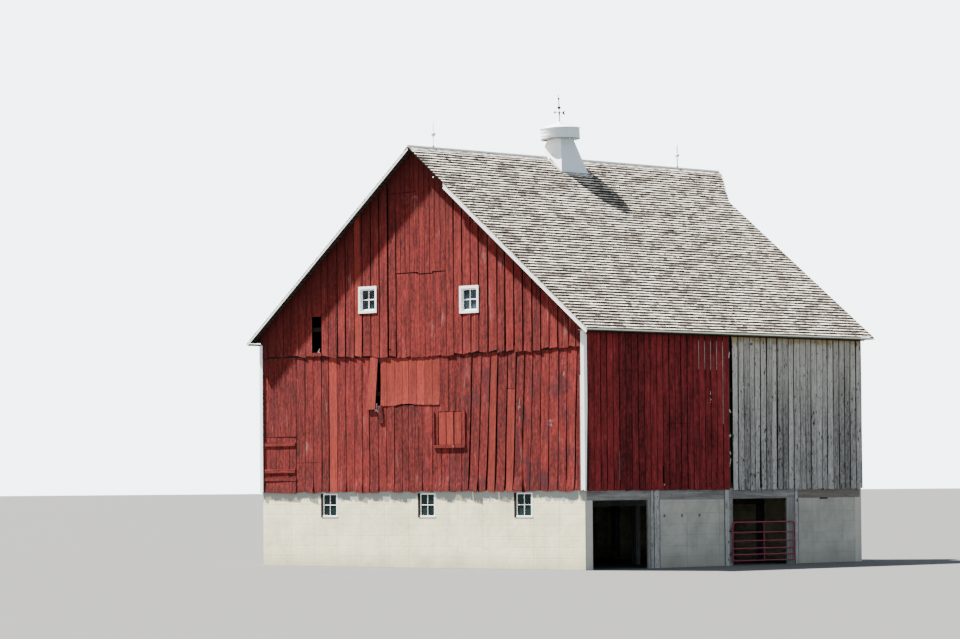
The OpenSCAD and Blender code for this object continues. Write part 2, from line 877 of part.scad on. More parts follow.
module rod_balls() {
    color([0.75, 0.78, 0.8]) for (y = point_y) translate([0, y, point_foot + point_h / 2])
        difference() {
            sphere(d = ball_d, $fn = 48);
            cylinder(r = point_r + 0.5, h = ball_d, center = true, $fn = 32);
            translate([0, 0, -ball_d]) cube([ball_d, ball_d, ball_d * 1.04], center = true);
        }
}

// Gate

// A tube between two points in the gate's own plane, x along the gate
module tube(p, q, r) {
    run = q - p;
    translate([0, p[0], p[1]]) rotate([-atan2(run[0], run[1]), 0, 0])
        cylinder(r = r, h = norm(run), $fn = 32);
}

// A quarter bend with its centre at the origin of the gate's plane, from start angle a
module bend(a) {
    rotate([a, 0, 0]) rotate([0, 90, 0]) rotate([0, 0, 90]) rotate_extrude(angle = 90, $fn = 48)
        translate([gate_bend, 0]) circle(gate_tube, $fn = 24);
}

module gate() {
    low = gate_low;
    high = gate_low + gate_h;
    inner_top = high - gate_bend;
    color([0.5, 0.08, 0.12]) translate([hinge_x, 0, 0]) difference() {
        union() {
            tube([gate_y0, low], [gate_y0, inner_top], gate_tube);
            tube([gate_y1, low], [gate_y1, inner_top], gate_tube);
            tube([gate_y0 + gate_bend, high], [gate_y1 - gate_bend, high], gate_tube);
            translate([0, gate_y1 - gate_bend, inner_top]) bend(0);
            translate([0, gate_y0 + gate_bend, inner_top]) bend(90);
            for (i = [0:4])
                tube([gate_y0, low + rail_steps[i] * gate_h],
                    [gate_y1, low + rail_steps[i] * gate_h], rail_d / 2);
            for (y = [gate_y0, gate_y1])
                translate([0, y, low]) sphere(r = gate_tube, $fn = 32);
            tube([(gate_y0 + gate_y1) / 2, low], [(gate_y0 + gate_y1) / 2, high], rail_d / 2);
            for (z = eye_levels) {
                translate([0, hinge_y, z]) cylinder(r = 20, h = eye_h, $fn = 32);
                block(-6, 6, hinge_y + 12, gate_y0, z + 5, z + eye_h - 5);
            }
        }
        for (z = eye_levels)
            translate([0, hinge_y, z - 1]) cylinder(r = pin_r + eye_gap, h = eye_h + 2, $fn = 32);
    }
}

// Bent hook bolts in the post; the gate's eyes drop over them
module gate_pintles() {
    color(dark_metal) for (z = eye_levels) translate([0, hinge_y, z]) {
        translate([hinge_x, 0, -40]) cylinder(r = pin_r, h = eye_h + 65, $fn = 32);
        translate([hinge_x, 0, -0.3 - 6]) cylinder(r = 18, h = 6, $fn = 32);
        translate([post_face, 0, -28]) rotate([0, 90, 0])
            cylinder(r = pin_r, h = hinge_x - post_face, $fn = 32);
        translate([post_face, 0, -28]) rotate([0, 90, 0]) cylinder(r = 26, h = 6, $fn = 32);
    }
}

foundation_front();
foundation_left();
foundation_back();
concrete_panels();
basement_posts();
door_jambs();
floor_beams();
floor_joists();
floor_deck();
frame_posts();
roof_plates();
tie_beams();
knee_braces();
girts();
rafters_left();
rafters_right();
front_wall_lower();
front_wall_upper();
side_wall_red();
side_wall_grey();
left_wall();
back_wall();
corner_boards();
hay_door();
hatch_shutter();
hatch_trim();
low_door();
loose_board();
back_hay_door();
roof_left();
roof_right();
hay_hood();
ridge_cap();
rake_boards();
eave_boards();
window_frames();
window_glass();
cellar_frames();
cellar_glass();
vent_duct();
vent_neck();
vent_drum();
vent_cap();
vane_rod();
wind_vane();
lightning_rods();
rod_balls();
gate();
gate_pintles();
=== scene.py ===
"""Looks of a timber barn: boards, shingles, windows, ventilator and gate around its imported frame."""

import json
import math
import random

import bmesh
import bpy
from bpy.props import FloatProperty, FloatVectorProperty, IntProperty, PointerProperty
from mathutils import Matrix, Vector


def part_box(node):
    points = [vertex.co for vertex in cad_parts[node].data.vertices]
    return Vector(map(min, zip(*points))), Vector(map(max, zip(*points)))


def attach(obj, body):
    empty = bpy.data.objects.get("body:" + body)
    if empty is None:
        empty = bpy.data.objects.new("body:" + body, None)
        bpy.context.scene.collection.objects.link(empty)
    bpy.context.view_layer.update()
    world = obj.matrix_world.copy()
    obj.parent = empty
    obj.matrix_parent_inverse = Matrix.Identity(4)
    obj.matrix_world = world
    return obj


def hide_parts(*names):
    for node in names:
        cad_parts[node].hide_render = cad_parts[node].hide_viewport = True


bl_info = {
    "name": "Timber barn looks",
    "version": (1, 0, 0),
    "blender": (4, 5, 0),
    "location": "3D View > Sidebar > Barn",
    "description": "Boards, shingles, windows, ventilator and gate of a timber barn around its frame",
    "category": "Object",
}

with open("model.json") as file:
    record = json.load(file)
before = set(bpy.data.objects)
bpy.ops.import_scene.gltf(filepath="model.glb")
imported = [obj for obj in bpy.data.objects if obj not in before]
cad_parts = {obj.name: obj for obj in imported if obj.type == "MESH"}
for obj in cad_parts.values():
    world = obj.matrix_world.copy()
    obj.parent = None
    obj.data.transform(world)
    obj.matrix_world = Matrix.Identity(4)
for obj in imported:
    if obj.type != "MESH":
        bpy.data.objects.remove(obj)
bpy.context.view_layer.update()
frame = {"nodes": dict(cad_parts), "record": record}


def low(node, axis):
    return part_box(node)[0][axis]


def high(node, axis):
    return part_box(node)[1][axis]


# Planes of the frame that the new pieces keep to, in metres
HALF_W = high("front_wall_upper", 0)
FRONT_Y = low("front_wall_upper", 1)
BACK_Y = high("back_wall", 1)
MID_Y = (FRONT_Y + BACK_Y) / 2
BAY = (BACK_Y - FRONT_Y) / 4
FOOT = low("side_wall_red", 2)
LAP_Z = high("front_wall_lower", 2)
SPLIT_Y = high("side_wall_red", 1)
GREY_Y = low("side_wall_grey", 1)
RIDGE_Z = high("roof_right", 2)
ROOF_Y0 = low("roof_right", 1)
ROOF_Y1 = high("roof_right", 1)
HOOD_TIP = high("hay_hood", 1)
HOOD_HALF = high("hay_hood", 0)
HOOD_REACH = HOOD_TIP - ROOF_Y1
EAVE_X = high("eave_boards", 0)
EAVE_LOW = low("eave_boards", 2)
EAVE_TAN = FOOT + 4.40
ROOF_T = 0.060
DECK_T = 0.030
PITCH = math.radians(38)
COS, SIN, SLOPE = math.cos(PITCH), math.sin(PITCH), math.tan(PITCH)
UNDER_RIDGE = RIDGE_Z - ROOF_T / COS
CLEARANCE = 0.004
EAVE_HEAD = UNDER_RIDGE - HALF_W * SLOPE - CLEARANCE
VENT_HOLES = (0.908, 0.662, 0.415)
QUARTER = Matrix.Rotation(math.pi / 2, 3, "Y")
LIE_ALONG_Y = Matrix.Rotation(-math.pi / 2, 3, "X")


def under_roof(x):
    """Height of the roof's underside at a distance from the middle line."""
    return UNDER_RIDGE - abs(x) * SLOPE


def on_roof(side, s, y, h):
    """A point at s down one slope (side 1 is +X) and h above the roof's underside."""
    return Vector((side * (s * COS + h * SIN), y, UNDER_RIDGE - s * SIN + h * COS))


def roof_turn(side, level):
    """Lays a unit bar flat on a slope, its length level along the ridge or else down the slope."""
    out = Vector((side * SIN, 0, COS))
    across = Vector((side * COS, 0, -SIN)) if level else Vector((0, 1, 0))
    return Matrix((across, out, across.cross(out))).transposed()


# Sizes and colours that a user may change


def metres(name, description, default, least, most):
    return FloatProperty(name=name, description=description, default=default, min=least, max=most,
                         unit="LENGTH")


def shade(name, description, default):
    return FloatVectorProperty(name=name, description=description, default=default, min=0, max=1,
                               size=3, subtype="COLOR")


class BarnSizes(bpy.types.PropertyGroup):
    board_t: metres("Board thickness", "Thickness of the wall boards", 0.018, 0.012, 0.022)
    joint: metres("Board joint", "Usual gap between two wall boards", 0.011, 0.002, 0.020)
    exposure: metres("Shingle exposure", "Length of each shingle that shows", 0.139, 0.110, 0.200)
    shingle_w: metres("Shingle width", "Mean width of the shingles", 0.200, 0.090, 0.300)
    seed: IntProperty(name="Seed", description="Start of the random draws", default=11, min=0)


class BarnColours(bpy.types.PropertyGroup):
    red: shade("Front red", "Sunned paint of the gable boards", (0.140, 0.0150, 0.0125))
    fresh_red: shade("Patch red", "Paint of the newer boards", (0.220, 0.0290, 0.0200))
    deep_red: shade("Side red", "Paint of the long side", (0.160, 0.0165, 0.0185))
    grey_wood: shade("Bare boards", "Weathered bare boards", (0.345, 0.342, 0.325))
    timber: shade("Timber", "Old timber inside", (0.045, 0.038, 0.032))
    concrete: shade("Concrete", "Weathered concrete", (0.860, 0.790, 0.530))
    panel: shade("Panel concrete", "Concrete of the panels in the open side", (0.400, 0.392, 0.345))
    white: shade("White paint", "Paint of the trim", (0.940, 0.940, 0.920))
    fascia: shade("Eave paint", "Pale paint of the eave boards", (0.850, 0.870, 0.700))
    shingle_light: shade("Pale shingle", "The palest shingles", (0.950, 0.870, 0.740))
    # Also the colour of the painted shadow under each course's butts
    shingle_dark_and_shade: shade("Dark shingle", "The darkest shingles", (0.0100, 0.0068, 0.0058))
    metal: shade("Sheet metal", "Pale sheet metal of the ventilator", (0.940, 0.960, 0.970))
    # Painted shade: the sheet's colour on its side towards +X
    shade_side_metal: shade("Dull metal", "Sheet metal on the sheltered side", (0.560, 0.650, 0.710))
    gate_red: shade("Gate red", "Paint of the tube gate", (0.200, 0.008, 0.035))


# Finishes

BARE_WOOD = (0.210, 0.180, 0.160)
# Near black for the edges of the boards in the joints: painted shade
EDGE_SHADE = (0.012, 0.009, 0.008)
# Sockets of the Mix node for colours, and its colour result
MIX_INPUTS, MIX_RESULT = (0, 6, 7), 2
# Old timber's grain, with 1 along the timber
FIBRE_SCALE, STREAK_SCALE = (2.0, 70.0), (0.6, 12.0)
# Where the gable's paint has gone: (x, z, half width, half height)
WORN_PLACES = ((5.86, 5.62, 0.055, 0.27), (4.15, 4.48, 0.05, 0.30), (1.0, 7.49, 0.025, 0.09),
               (-0.2, 10.72, 0.34, 0.045), (5.35, 4.1, 0.10, 0.10))


def tinted(colour, factor):
    return tuple(min(1.0, channel * factor) for channel in colour)


class Value:
    """An output of a finish's node, which adds and multiplies as a number does."""

    def __init__(self, finish, socket):
        self.finish, self.socket = finish, socket

    def __add__(self, other):
        return self.finish.calc("ADD", self, other)

    def __radd__(self, other):
        return self.finish.calc("ADD", other, self)

    def __sub__(self, other):
        return self.finish.calc("SUBTRACT", self, other)

    def __rsub__(self, other):
        return self.finish.calc("SUBTRACT", other, self)

    def __mul__(self, other):
        return self.finish.calc("MULTIPLY", self, other)

    def __truediv__(self, other):
        return self.finish.calc("DIVIDE", self, other)

    def __abs__(self):
        return self.finish.calc("ABSOLUTE", self)

    def axes(self):
        """Its X, Y and Z."""
        return [self.finish.add("SeparateXYZ", {"Vector": self}, letter) for letter in "XYZ"]

    def span(self, start, end, first=0.0, last=1.0):
        """Takes the range start to end onto first to last, and holds it there."""
        return self.finish.add("MapRange", {"Value": self, "From Min": start, "From Max": end,
                                            "To Min": first, "To Max": last}, "Result")


class Finish:
    """A node material under construction, which starts from one colour and is coated with others."""

    def __init__(self, name, colour, roughness, specular, metallic=0.0):
        self.colour = colour
        self.material = bpy.data.materials.new(name)
        self.material.use_nodes = True
        self.tree = self.material.node_tree
        self.shader = self.tree.nodes["Principled BSDF"]
        self.shader.inputs["Roughness"].default_value = roughness
        self.shader.inputs["Specular IOR Level"].default_value = specular
        self.shader.inputs["Metallic"].default_value = metallic

    def feed(self, socket, value):
        if isinstance(value, Value):
            self.tree.links.new(value.socket, socket)
        elif isinstance(value, (int, float)) or len(value) == len(socket.default_value):
            socket.default_value = value
        else:
            socket.default_value = (*value, 1)

    def add(self, kind, inputs, output, **settings):
        """Adds a node, feeds its inputs and gives back one output."""
        node = self.tree.nodes.new("ShaderNode" + kind)
        for name, setting in settings.items():
            setattr(node, name, setting)
        for name, value in inputs.items():
            self.feed(node.inputs[name], value)
        return Value(self, node.outputs[output])

    def attribute(self, name, output="Fac"):
        return self.add("Attribute", {}, output, attribute_name=name)

    def place(self):
        return self.add("TexCoord", {}, "Object")

    def facing(self):
        """How far the surface faces +X."""
        return self.add("NewGeometry", {}, "Normal").axes()[0]

    def noise(self, vector, scale, detail=4.0, roughness=0.6, distortion=0.0):
        """Noise at one scale, or at a scale for each axis."""
        if isinstance(scale, tuple):
            vector = self.add("Mapping", {"Vector": vector, "Scale": scale}, "Vector")
            scale = 1.0
        return self.add("TexNoise", {"Vector": vector, "Scale": scale, "Detail": detail,
                                     "Roughness": roughness, "Distortion": distortion}, "Fac")

    def calc(self, operation, *values):
        return self.add("Math", dict(enumerate(values)), "Value", operation=operation)

    def mix(self, factor, first, second):
        return self.add("Mix", dict(zip(MIX_INPUTS, (factor, first, second))), MIX_RESULT, data_type="RGBA")

    def coat(self, colour, cover):
        """Lays a colour over the finish as far as cover says, from 0 to 1."""
        self.colour = self.mix(cover, self.colour, colour)

    def done(self, height=None, depth=0.0, roughness=None):
        """Ends the finish with a relief of a depth in metres, and a roughness if it varies."""
        self.feed(self.shader.inputs["Base Color"], self.colour)
        if height is not None:
            relief = self.add("Bump", {"Strength": 1.0, "Distance": depth, "Height": height}, "Normal")
            self.feed(self.shader.inputs["Normal"], relief)
        if roughness is not None:
            self.feed(self.shader.inputs["Roughness"], roughness)
        return self.material


def board_level(finish, grain, tone, weights):
    """Lightness of a board from 0 to 1: its own tone, streaks down the grain, mottling and clouds."""
    streak = finish.noise(grain, (24, 24, 0.9), 5.0, 0.65, 0.3)
    spots = finish.noise(grain, (17, 17, 8.0))
    cloud = finish.noise(grain, (3.0, 3.0, 1.1), 5.0)
    level = 0.5
    for value, weight in zip((tone, streak, spots, cloud), weights):
        level = level + (value - 0.5) * weight
    return level, streak, spots, cloud


def gable_weather(finish, colour, spots):
    """Painted shade under the rakes, purple stains low on the right, dirt at the feet, and bare places."""
    spot = finish.place()
    x, _, z = spot.axes()
    # Darker red close under the roof's edges, most on the left: painted shade
    drop = UNDER_RIDGE - z - abs(x) * SLOPE
    finish.coat(tinted(colour, 0.30), drop.span(0.15, 1.7, 0.85, 0.0) * x.span(0.3, 2.6, 1.0, 0.0))
    blotch = finish.noise(spot, (2.1, 1.0, 1.2), 6.0, 0.65, 0.3)
    low_right = x.span(0.8, 3.6, 0.25, 1.0) * z.span(LAP_Z - 0.1, LAP_Z - 0.9, 0.12, 1.0)
    finish.coat((0.034, 0.009, 0.012), blotch.span(0.50, 0.62, 0.0, 0.75) * low_right)
    finish.coat(tinted(colour, 0.30), (z + spots * 0.45).span(FOOT + 0.22, FOOT + 0.42, 0.6, 0.0))
    bare = 0.0
    for worn_x, worn_z, half_w, half_h in WORN_PLACES:
        across, up = (x - worn_x) / half_w, (z - worn_z) / half_h
        bare = finish.calc("MAXIMUM", bare, (across * across + up * up).span(0.5, 1.6, 1.0, 0.0))
    finish.coat((0.155, 0.115, 0.115), bare * spots.span(0.52, 0.58) * 0.75)


def painted_boards(name, colour, weights=(0.45, 2.0, 2.0, 1.0), stains=0.8, bare=0.6, dark=0.35, light=1.55,
                   on_node=False, gable=False, under_eave=False):
    """Old paint on rough boards: streaks down the grain, stains, and bare wood where it has gone."""
    finish = Finish(name, tinted(colour, dark), roughness=0.9, specular=0.12)
    grain = finish.place() if on_node else finish.attribute("grain", "Vector")
    tone = 0.5 if on_node else finish.attribute("tone")
    level, streak, spots, cloud = board_level(finish, grain, tone, weights)
    fibre = finish.noise(grain, (120, 120, 2.4), 6.0, 0.7)
    run = finish.noise(grain, (9, 9, 0.5), 4.0, 0.6, 0.5)
    finish.coat(tinted(colour, light), level.span(0.0, 1.0))
    finish.coat(tinted(colour, 0.25), run.span(0.55, 0.68, 0.0, stains))
    finish.coat(tinted(colour, 0.20), fibre.span(0.34, 0.54, 0.75, 0.0))
    gone = fibre.span(0.48, 0.60) * (cloud + streak * 0.5).span(0.86, 0.96)
    finish.coat(BARE_WOOD, gone * bare)
    if gable:
        gable_weather(finish, colour, spots)
    if under_eave:
        shadow = finish.place().axes()[2].span(EAVE_LOW - 0.14, EAVE_LOW - 0.02, 0.0, 0.45)
        finish.coat(tinted(colour, 0.12), shadow)
    if not on_node:
        # The edges of the boards turn near black: painted shade in the joints
        finish.coat(EDGE_SHADE, finish.attribute("edge") * 0.9)
    return finish.done(fibre * 0.7 + (streak + spots), 0.006)


def bare_boards(name, colour):
    """Weathered unpainted wood: silver grey with dark streaks and knots, still tan under the eave."""
    finish = Finish(name, tinted(colour, 0.33), roughness=0.92, specular=0.12)
    grain = finish.attribute("grain", "Vector")
    tone = finish.attribute("tone")
    level, streak, spots, cloud = board_level(finish, grain, tone, (0.72, 1.5, 1.5, 0.10))
    fibre = finish.noise(grain, (120, 120, 2.0), 7.0, 0.7)
    run = finish.noise(grain, (30, 30, 0.5), 4.0, 0.6, 0.4)
    knots = finish.noise(grain, (16, 16, 6.0), 1.5, 0.4)
    finish.coat(tinted(colour, 1.44), level.span(0.0, 1.0))
    finish.coat((0.165, 0.135, 0.105), cloud.span(0.50, 0.70, 0.0, 0.20))
    z = finish.place().axes()[2]
    scalloped = z + (tone * 0.16 + spots * 0.12)
    finish.coat((0.63, 0.595, 0.50), scalloped.span(EAVE_TAN - 2.4, EAVE_TAN - 0.1, 0.0, 0.45))
    tan = finish.mix(streak.span(0.35, 0.65), (0.235, 0.170, 0.072), (0.450, 0.365, 0.190))
    finish.coat(tan, scalloped.span(EAVE_TAN - 0.04, EAVE_TAN + 0.05, 0.0, 0.90))
    # Darker just under the eave: painted shade
    finish.coat((0.110, 0.085, 0.035), z.span(EAVE_LOW - 0.07, EAVE_LOW - 0.03, 0.0, 0.6))
    finish.coat(tinted(colour, 0.16), fibre.span(0.34, 0.56, 0.80, 0.0))
    finish.coat(tinted(colour, 0.22), run.span(0.55, 0.68, 0.0, 0.65))
    finish.coat(tinted(colour, 0.08), knots.span(0.66, 0.70, 0.0, 0.95))
    # The edges of the boards turn near black: painted shade in the joints
    finish.coat(EDGE_SHADE, finish.attribute("edge") * 0.85)
    return finish.done(fibre * 0.7 + streak, 0.006)


def old_timber(name, colour, along, brown_from=None):
    """Sawn timber of a CAD node, with its grain along one axis: 0, 1 or 2 for X, Y or Z.

    Past brown_from along Y it turns brown.
    """
    finish = Finish(name, tinted(colour, 0.51), roughness=0.92, specular=0.12)
    spot = finish.place()
    fine, coarse = (tuple(scale[k != along] for k in range(3)) for scale in (FIBRE_SCALE, STREAK_SCALE))
    fibre = finish.noise(spot, fine, 6.0, 0.7)
    streak = finish.noise(spot, coarse, 5.0, 0.6, 0.4)
    finish.coat(tinted(colour, 1.35), streak.span(0.30, 0.70))
    finish.coat(tinted(colour, 0.5), finish.noise(spot, 1.7).span(0.35, 0.70, 0.0, 0.45))
    finish.coat(tinted(colour, 0.25), finish.noise(spot, 7.0, 3.0).span(0.64, 0.70, 0.0, 0.7))
    if brown_from is not None:
        finish.coat((0.150, 0.120, 0.090), spot.axes()[1].span(brown_from, brown_from + 0.02, 0.0, 0.65))
    finish.coat(tinted(colour, 0.25), fibre.span(0.30, 0.62, 0.6, 0.0))
    return finish.done(fibre * 0.7 + streak, 0.008)


def shade_timber(context, name, along):
    """Timber so deep in the shade that it is nearly black."""
    return old_timber(name, tinted(context.scene.barn_colours.timber, 0.3), along)


def white_paint(name, colour, foot=None, capped=False, worn=0.85, corner=None):
    """Brushed white paint with dirt in the grain and small chips down to grey wood.

    It is painted near black below the height of foot, as shade under the eave, and capped boards show
    the ends of the shingles along their top. On the corner boards the wall's colour, given as corner,
    laps over one edge, and the other edge is painted near black as the shade of the gap beside it.
    """
    finish = Finish(name, colour, roughness=0.6, specular=0.35)
    spot = finish.place()
    x, y, z = spot.axes()
    brush = finish.noise(spot, (60, 60, 60))
    dirt = finish.noise(spot, (5, 5, 2.5), 6.0, 0.65)
    chips = finish.noise(spot, (26, 26, 11), 5.0, 0.6, 0.6)
    finish.coat(tinted(colour, 0.70), dirt.span(0.48, 0.75, 0.0, 0.35))
    finish.coat((0.45, 0.44, 0.40), brush.span(0.35, 0.60, 0.08, 0.0))
    chipped = chips.span(0.62, 0.66) * dirt.span(0.50, 0.62)
    finish.coat((0.27, 0.25, 0.23), chipped * worn)
    if foot is not None:
        finish.coat((0.165, 0.170, 0.105), z.span(foot + 0.024, foot + 0.030, 0.0, 0.85))
        # Near black below foot: painted shade under the eave
        finish.coat((0.022, 0.020, 0.012), z.span(foot, foot + 0.004, 0.95, 0.0))
    if capped:
        drop = RIDGE_Z - z - abs(x) * SLOPE
        grain = finish.noise(spot, (4, 4, 16)).span(0.42, 0.58)
        ends = finish.mix(grain, (0.120, 0.105, 0.070), (0.560, 0.520, 0.400))
        finish.coat(ends, drop.span(0.066, 0.072, 1.0, 0.0))
    if corner is not None:
        right = x.span(0.0, 0.1)
        lap = (x + dirt * 0.03).span(HALF_W - 0.110, HALF_W - 0.100, 1.0, 0.0)
        finish.coat(corner, lap * right)
        # Near black on the side leaf back from its front: painted shadow of the gap beside it
        behind = y - FRONT_Y - (z - FOOT) * 0.030
        finish.coat((0.012, 0.008, 0.007), behind.span(0.026, 0.032) * right)
    return finish.done(brush * 0.5 - chipped, 0.0012)


def poured_concrete(name, colour, joints, painted_shade=0.0):
    """Board-marked concrete: lift lines, upright form joints, stains from above and pinholes."""
    finish = Finish(name, tinted(colour, 0.74), roughness=0.93, specular=0.15)
    spot = finish.place()
    x, y, z = spot.axes()
    blotch = finish.noise(spot, 4.5, 6.0, 0.65)
    grit = finish.noise(spot, 85.0, 4.0, 0.7)
    runs = finish.noise(spot, (5.5, 5.5, 0.35), 5.0)
    finish.coat(tinted(colour, 1.12), finish.noise(spot, 0.9, 7.0).span(0.32, 0.70))
    finish.coat(tinted(colour, 0.55), blotch.span(0.48, 0.78, 0.0, 0.50))
    finish.coat((0.425, 0.435, 0.430), runs.span(0.50, 0.78, 0.0, 0.30))
    if painted_shade:
        # A ragged grey band at the top: painted shadow of the boards' feet
        ragged = z - finish.noise(spot, (3.4, 3.4, 0.9), 6.0, 0.72) * 0.85
        finish.coat((0.250, 0.275, 0.262), ragged.span(FOOT - 0.66, FOOT - 0.63, 0.0, painted_shade))
    finish.coat((0.250, 0.235, 0.180), (z + blotch * 0.5).span(0.30, 0.75, 0.45, 0.0))
    if painted_shade:
        # Faces towards +X darker, near black on the left: painted shade
        shaded_side = finish.mix(x.span(-1.0, 1.0), (0.060, 0.056, 0.045), (0.387, 0.3915, 0.378))
        finish.coat(shaded_side, finish.facing().span(0.4, 0.6, 0.0, 0.85))
    finish.coat(tinted(colour, 0.45), grit.span(0.30, 0.55, 0.22, 0.0))
    joint, lift = (abs(finish.calc("FRACT", run) - 0.5) for run in ((x + y) / joints, z / 0.305))
    line = finish.calc("MAXIMUM", joint.span(0.492, 0.497), lift.span(0.470, 0.492, 0.0, 0.55))
    finish.coat(tinted(colour, 0.40), line * 0.55)
    return finish.done(grit * 0.25 + blotch - line * 0.7, 0.006)


def split_shingles(name, pale, dark):
    """Weathered wood shingles: bleached where they lie open, and dark brown close under the next course.

    The dark brown there is painted shadow of the butts above, and partly wood that weathers less.
    """
    finish = Finish(name, (0.330, 0.270, 0.215), roughness=0.9, specular=0.12)
    grain = finish.attribute("grain", "Vector")
    tone = finish.attribute("tone")
    fibre = finish.noise(grain, (130, 130, 6.0), 5.0, 0.7)
    streak = finish.noise(grain, (26, 26, 4.0))
    spot = finish.place()
    patch = finish.noise(spot, (2.6, 1.5, 2.6), 3.0)
    level = tone * 0.95 + streak * 0.60 + finish.noise(spot, (0.9, 0.35, 0.9)) * 0.45
    finish.coat(tinted(pale, 0.62), level.span(0.60, 1.00))
    finish.coat(pale, level.span(0.92, 1.25))
    finish.coat((0.240, 0.180, 0.112), patch.span(0.46, 0.64, 0.0, 0.45))
    finish.coat(dark, fibre.span(0.30, 0.55, 0.25, 0.0))
    # Dark band under each course's butts: painted shadow, and partly less weathered wood
    reach = finish.attribute("open") + streak * 0.50 - patch * 0.40 + (tone - 0.6) * 0.20
    finish.coat(dark, reach.span(0.73, 0.83, 1.0, 0.0))
    finish.coat(tinted(dark, 0.45), finish.attribute("edge") * 0.9)
    return finish.done(fibre + streak, 0.004)


def pale_metal(name, colour, dull_and_shade, rust=0.15, rim=None, foot=None):
    """Weathered zinc-coated sheet: cloudy flakes, grey runs, a little rust, and painted shade towards +X.

    Below the height of rim it is stained olive, and below the height of foot it is mottled like the
    shingles.
    """
    finish = Finish(name, colour, roughness=0.5, specular=0.4)
    spot = finish.place()
    z = spot.axes()[2]
    flake = finish.noise(spot, 22.0, 3.0, 0.5)
    cloud = finish.noise(spot, 2.4, 5.0)
    runs = finish.noise(spot, (16, 16, 0.8), 5.0)
    # Faces towards +X take the darker colour: painted shade
    finish.coat(dull_and_shade, finish.facing().span(0.05, 0.65))
    finish.coat(tinted(dull_and_shade, 0.80), cloud.span(0.40, 0.75, 0.0, 0.25))
    finish.coat(tinted(dull_and_shade, 0.90), flake.span(0.40, 0.62, 0.0, 0.10))
    finish.coat(tinted(dull_and_shade, 0.62), runs.span(0.54, 0.74, 0.0, 0.40))
    spots = finish.noise(spot, 9.0, 6.0, 0.7).span(0.60, 0.68) * cloud.span(0.50, 0.62)
    finish.coat((0.160, 0.070, 0.030), spots * rust)
    if rim is not None:
        finish.coat((0.150, 0.140, 0.075), (z + cloud * 0.03).span(rim, rim + 0.02, 0.9, 0.0))
    if foot is not None:
        mottle = finish.noise(spot, (12, 4, 30)).span(0.44, 0.58)
        stain = finish.mix(mottle, (0.030, 0.023, 0.018), (0.700, 0.640, 0.540))
        finish.coat(stain, z.span(foot - 0.004, foot + 0.004, 0.9, 0.0))
    return finish.done(flake + cloud, 0.003, cloud.span(0.3, 0.7, 0.42, 0.62))


def dark_iron(name):
    """Iron gone dark, with rust in clouds."""
    finish = Finish(name, (0.026, 0.036, 0.050), roughness=0.75, specular=0.4, metallic=0.3)
    rust = finish.noise(finish.place(), 30.0, 6.0, 0.65)
    finish.coat((0.075, 0.050, 0.042), rust.span(0.46, 0.66))
    return finish.done(rust, 0.001)


def enamel(name, colour):
    """Gate paint with scuffs down to rust."""
    finish = Finish(name, tinted(colour, 0.75), roughness=0.42, specular=0.5)
    spot = finish.place()
    scuff = finish.noise(spot, 14.0, 7.0, 0.7)
    finish.coat(tinted(colour, 1.25), finish.noise(spot, 2.0, 3.0, 0.5).span(0.35, 0.70))
    finish.coat((0.115, 0.055, 0.035), scuff.span(0.64, 0.68))
    return finish.done(scuff * -1.0, 0.0008, scuff.span(0.4, 0.7, 0.35, 0.75))


def window_pane(name, dark, light, alpha, shine):
    """Wavy old glass with a painted reflection in patches, weaker in the windows left of the middle."""
    finish = Finish(name, dark, roughness=0.08, specular=shine)
    spot = finish.place()
    wave = finish.noise(spot, 3.0, 2.0, 0.5)
    # The light colour in wavy patches: painted reflection
    finish.coat(light, wave.span(0.3, 0.7) * spot.axes()[0].span(-1.0, 1.0, 0.4, 1.0))
    finish.shader.inputs["Alpha"].default_value = alpha
    return finish.done(wave, 0.001)


def milk_glass(name):
    """Milky glazed glass of the rods' balls."""
    finish = Finish(name, (0.62, 0.66, 0.68), roughness=0.18, specular=0.6)
    cloud = finish.noise(finish.place(), 18.0, 4.0, 0.5)
    finish.coat((0.86, 0.88, 0.88), cloud.span(0.35, 0.70))
    return finish.done(cloud, 0.0006)


# Shapes

# A unit bar's points beyond this, of 1, lie on its flat sides and not on its chamfers
FLAT = 0.95
CHAMFER = 0.002
CLOSE = 1e-5
# Height over which a board's foot bends outwards, and the waves of its edges and its bow
KICK_REACH, EDGE_WAVE, BOW_WAVE, BOW = 0.6, 1.7, 1.3, 0.35
GRAIN_SHIFT = 40


def unit_bar(cuts):
    """A closed bar from -1 to 1 each way with chamfered long edges along Z, cut across into lengths."""
    bm = bmesh.new()
    bmesh.ops.create_cube(bm, size=2)

    def upright():
        return [e for e in bm.edges if abs(e.verts[0].co.z - e.verts[1].co.z) > 1]

    bmesh.ops.bevel(bm, geom=upright(), offset=0.1, offset_type="OFFSET", segments=1, profile=0.5,
                    affect="EDGES", material=-1)
    if cuts:
        bmesh.ops.subdivide_edges(bm, edges=upright(), cuts=cuts, use_grid_fill=True)
    mesh = bpy.data.meshes.new("unit_bar")
    bm.to_mesh(mesh)
    bm.free()
    return mesh


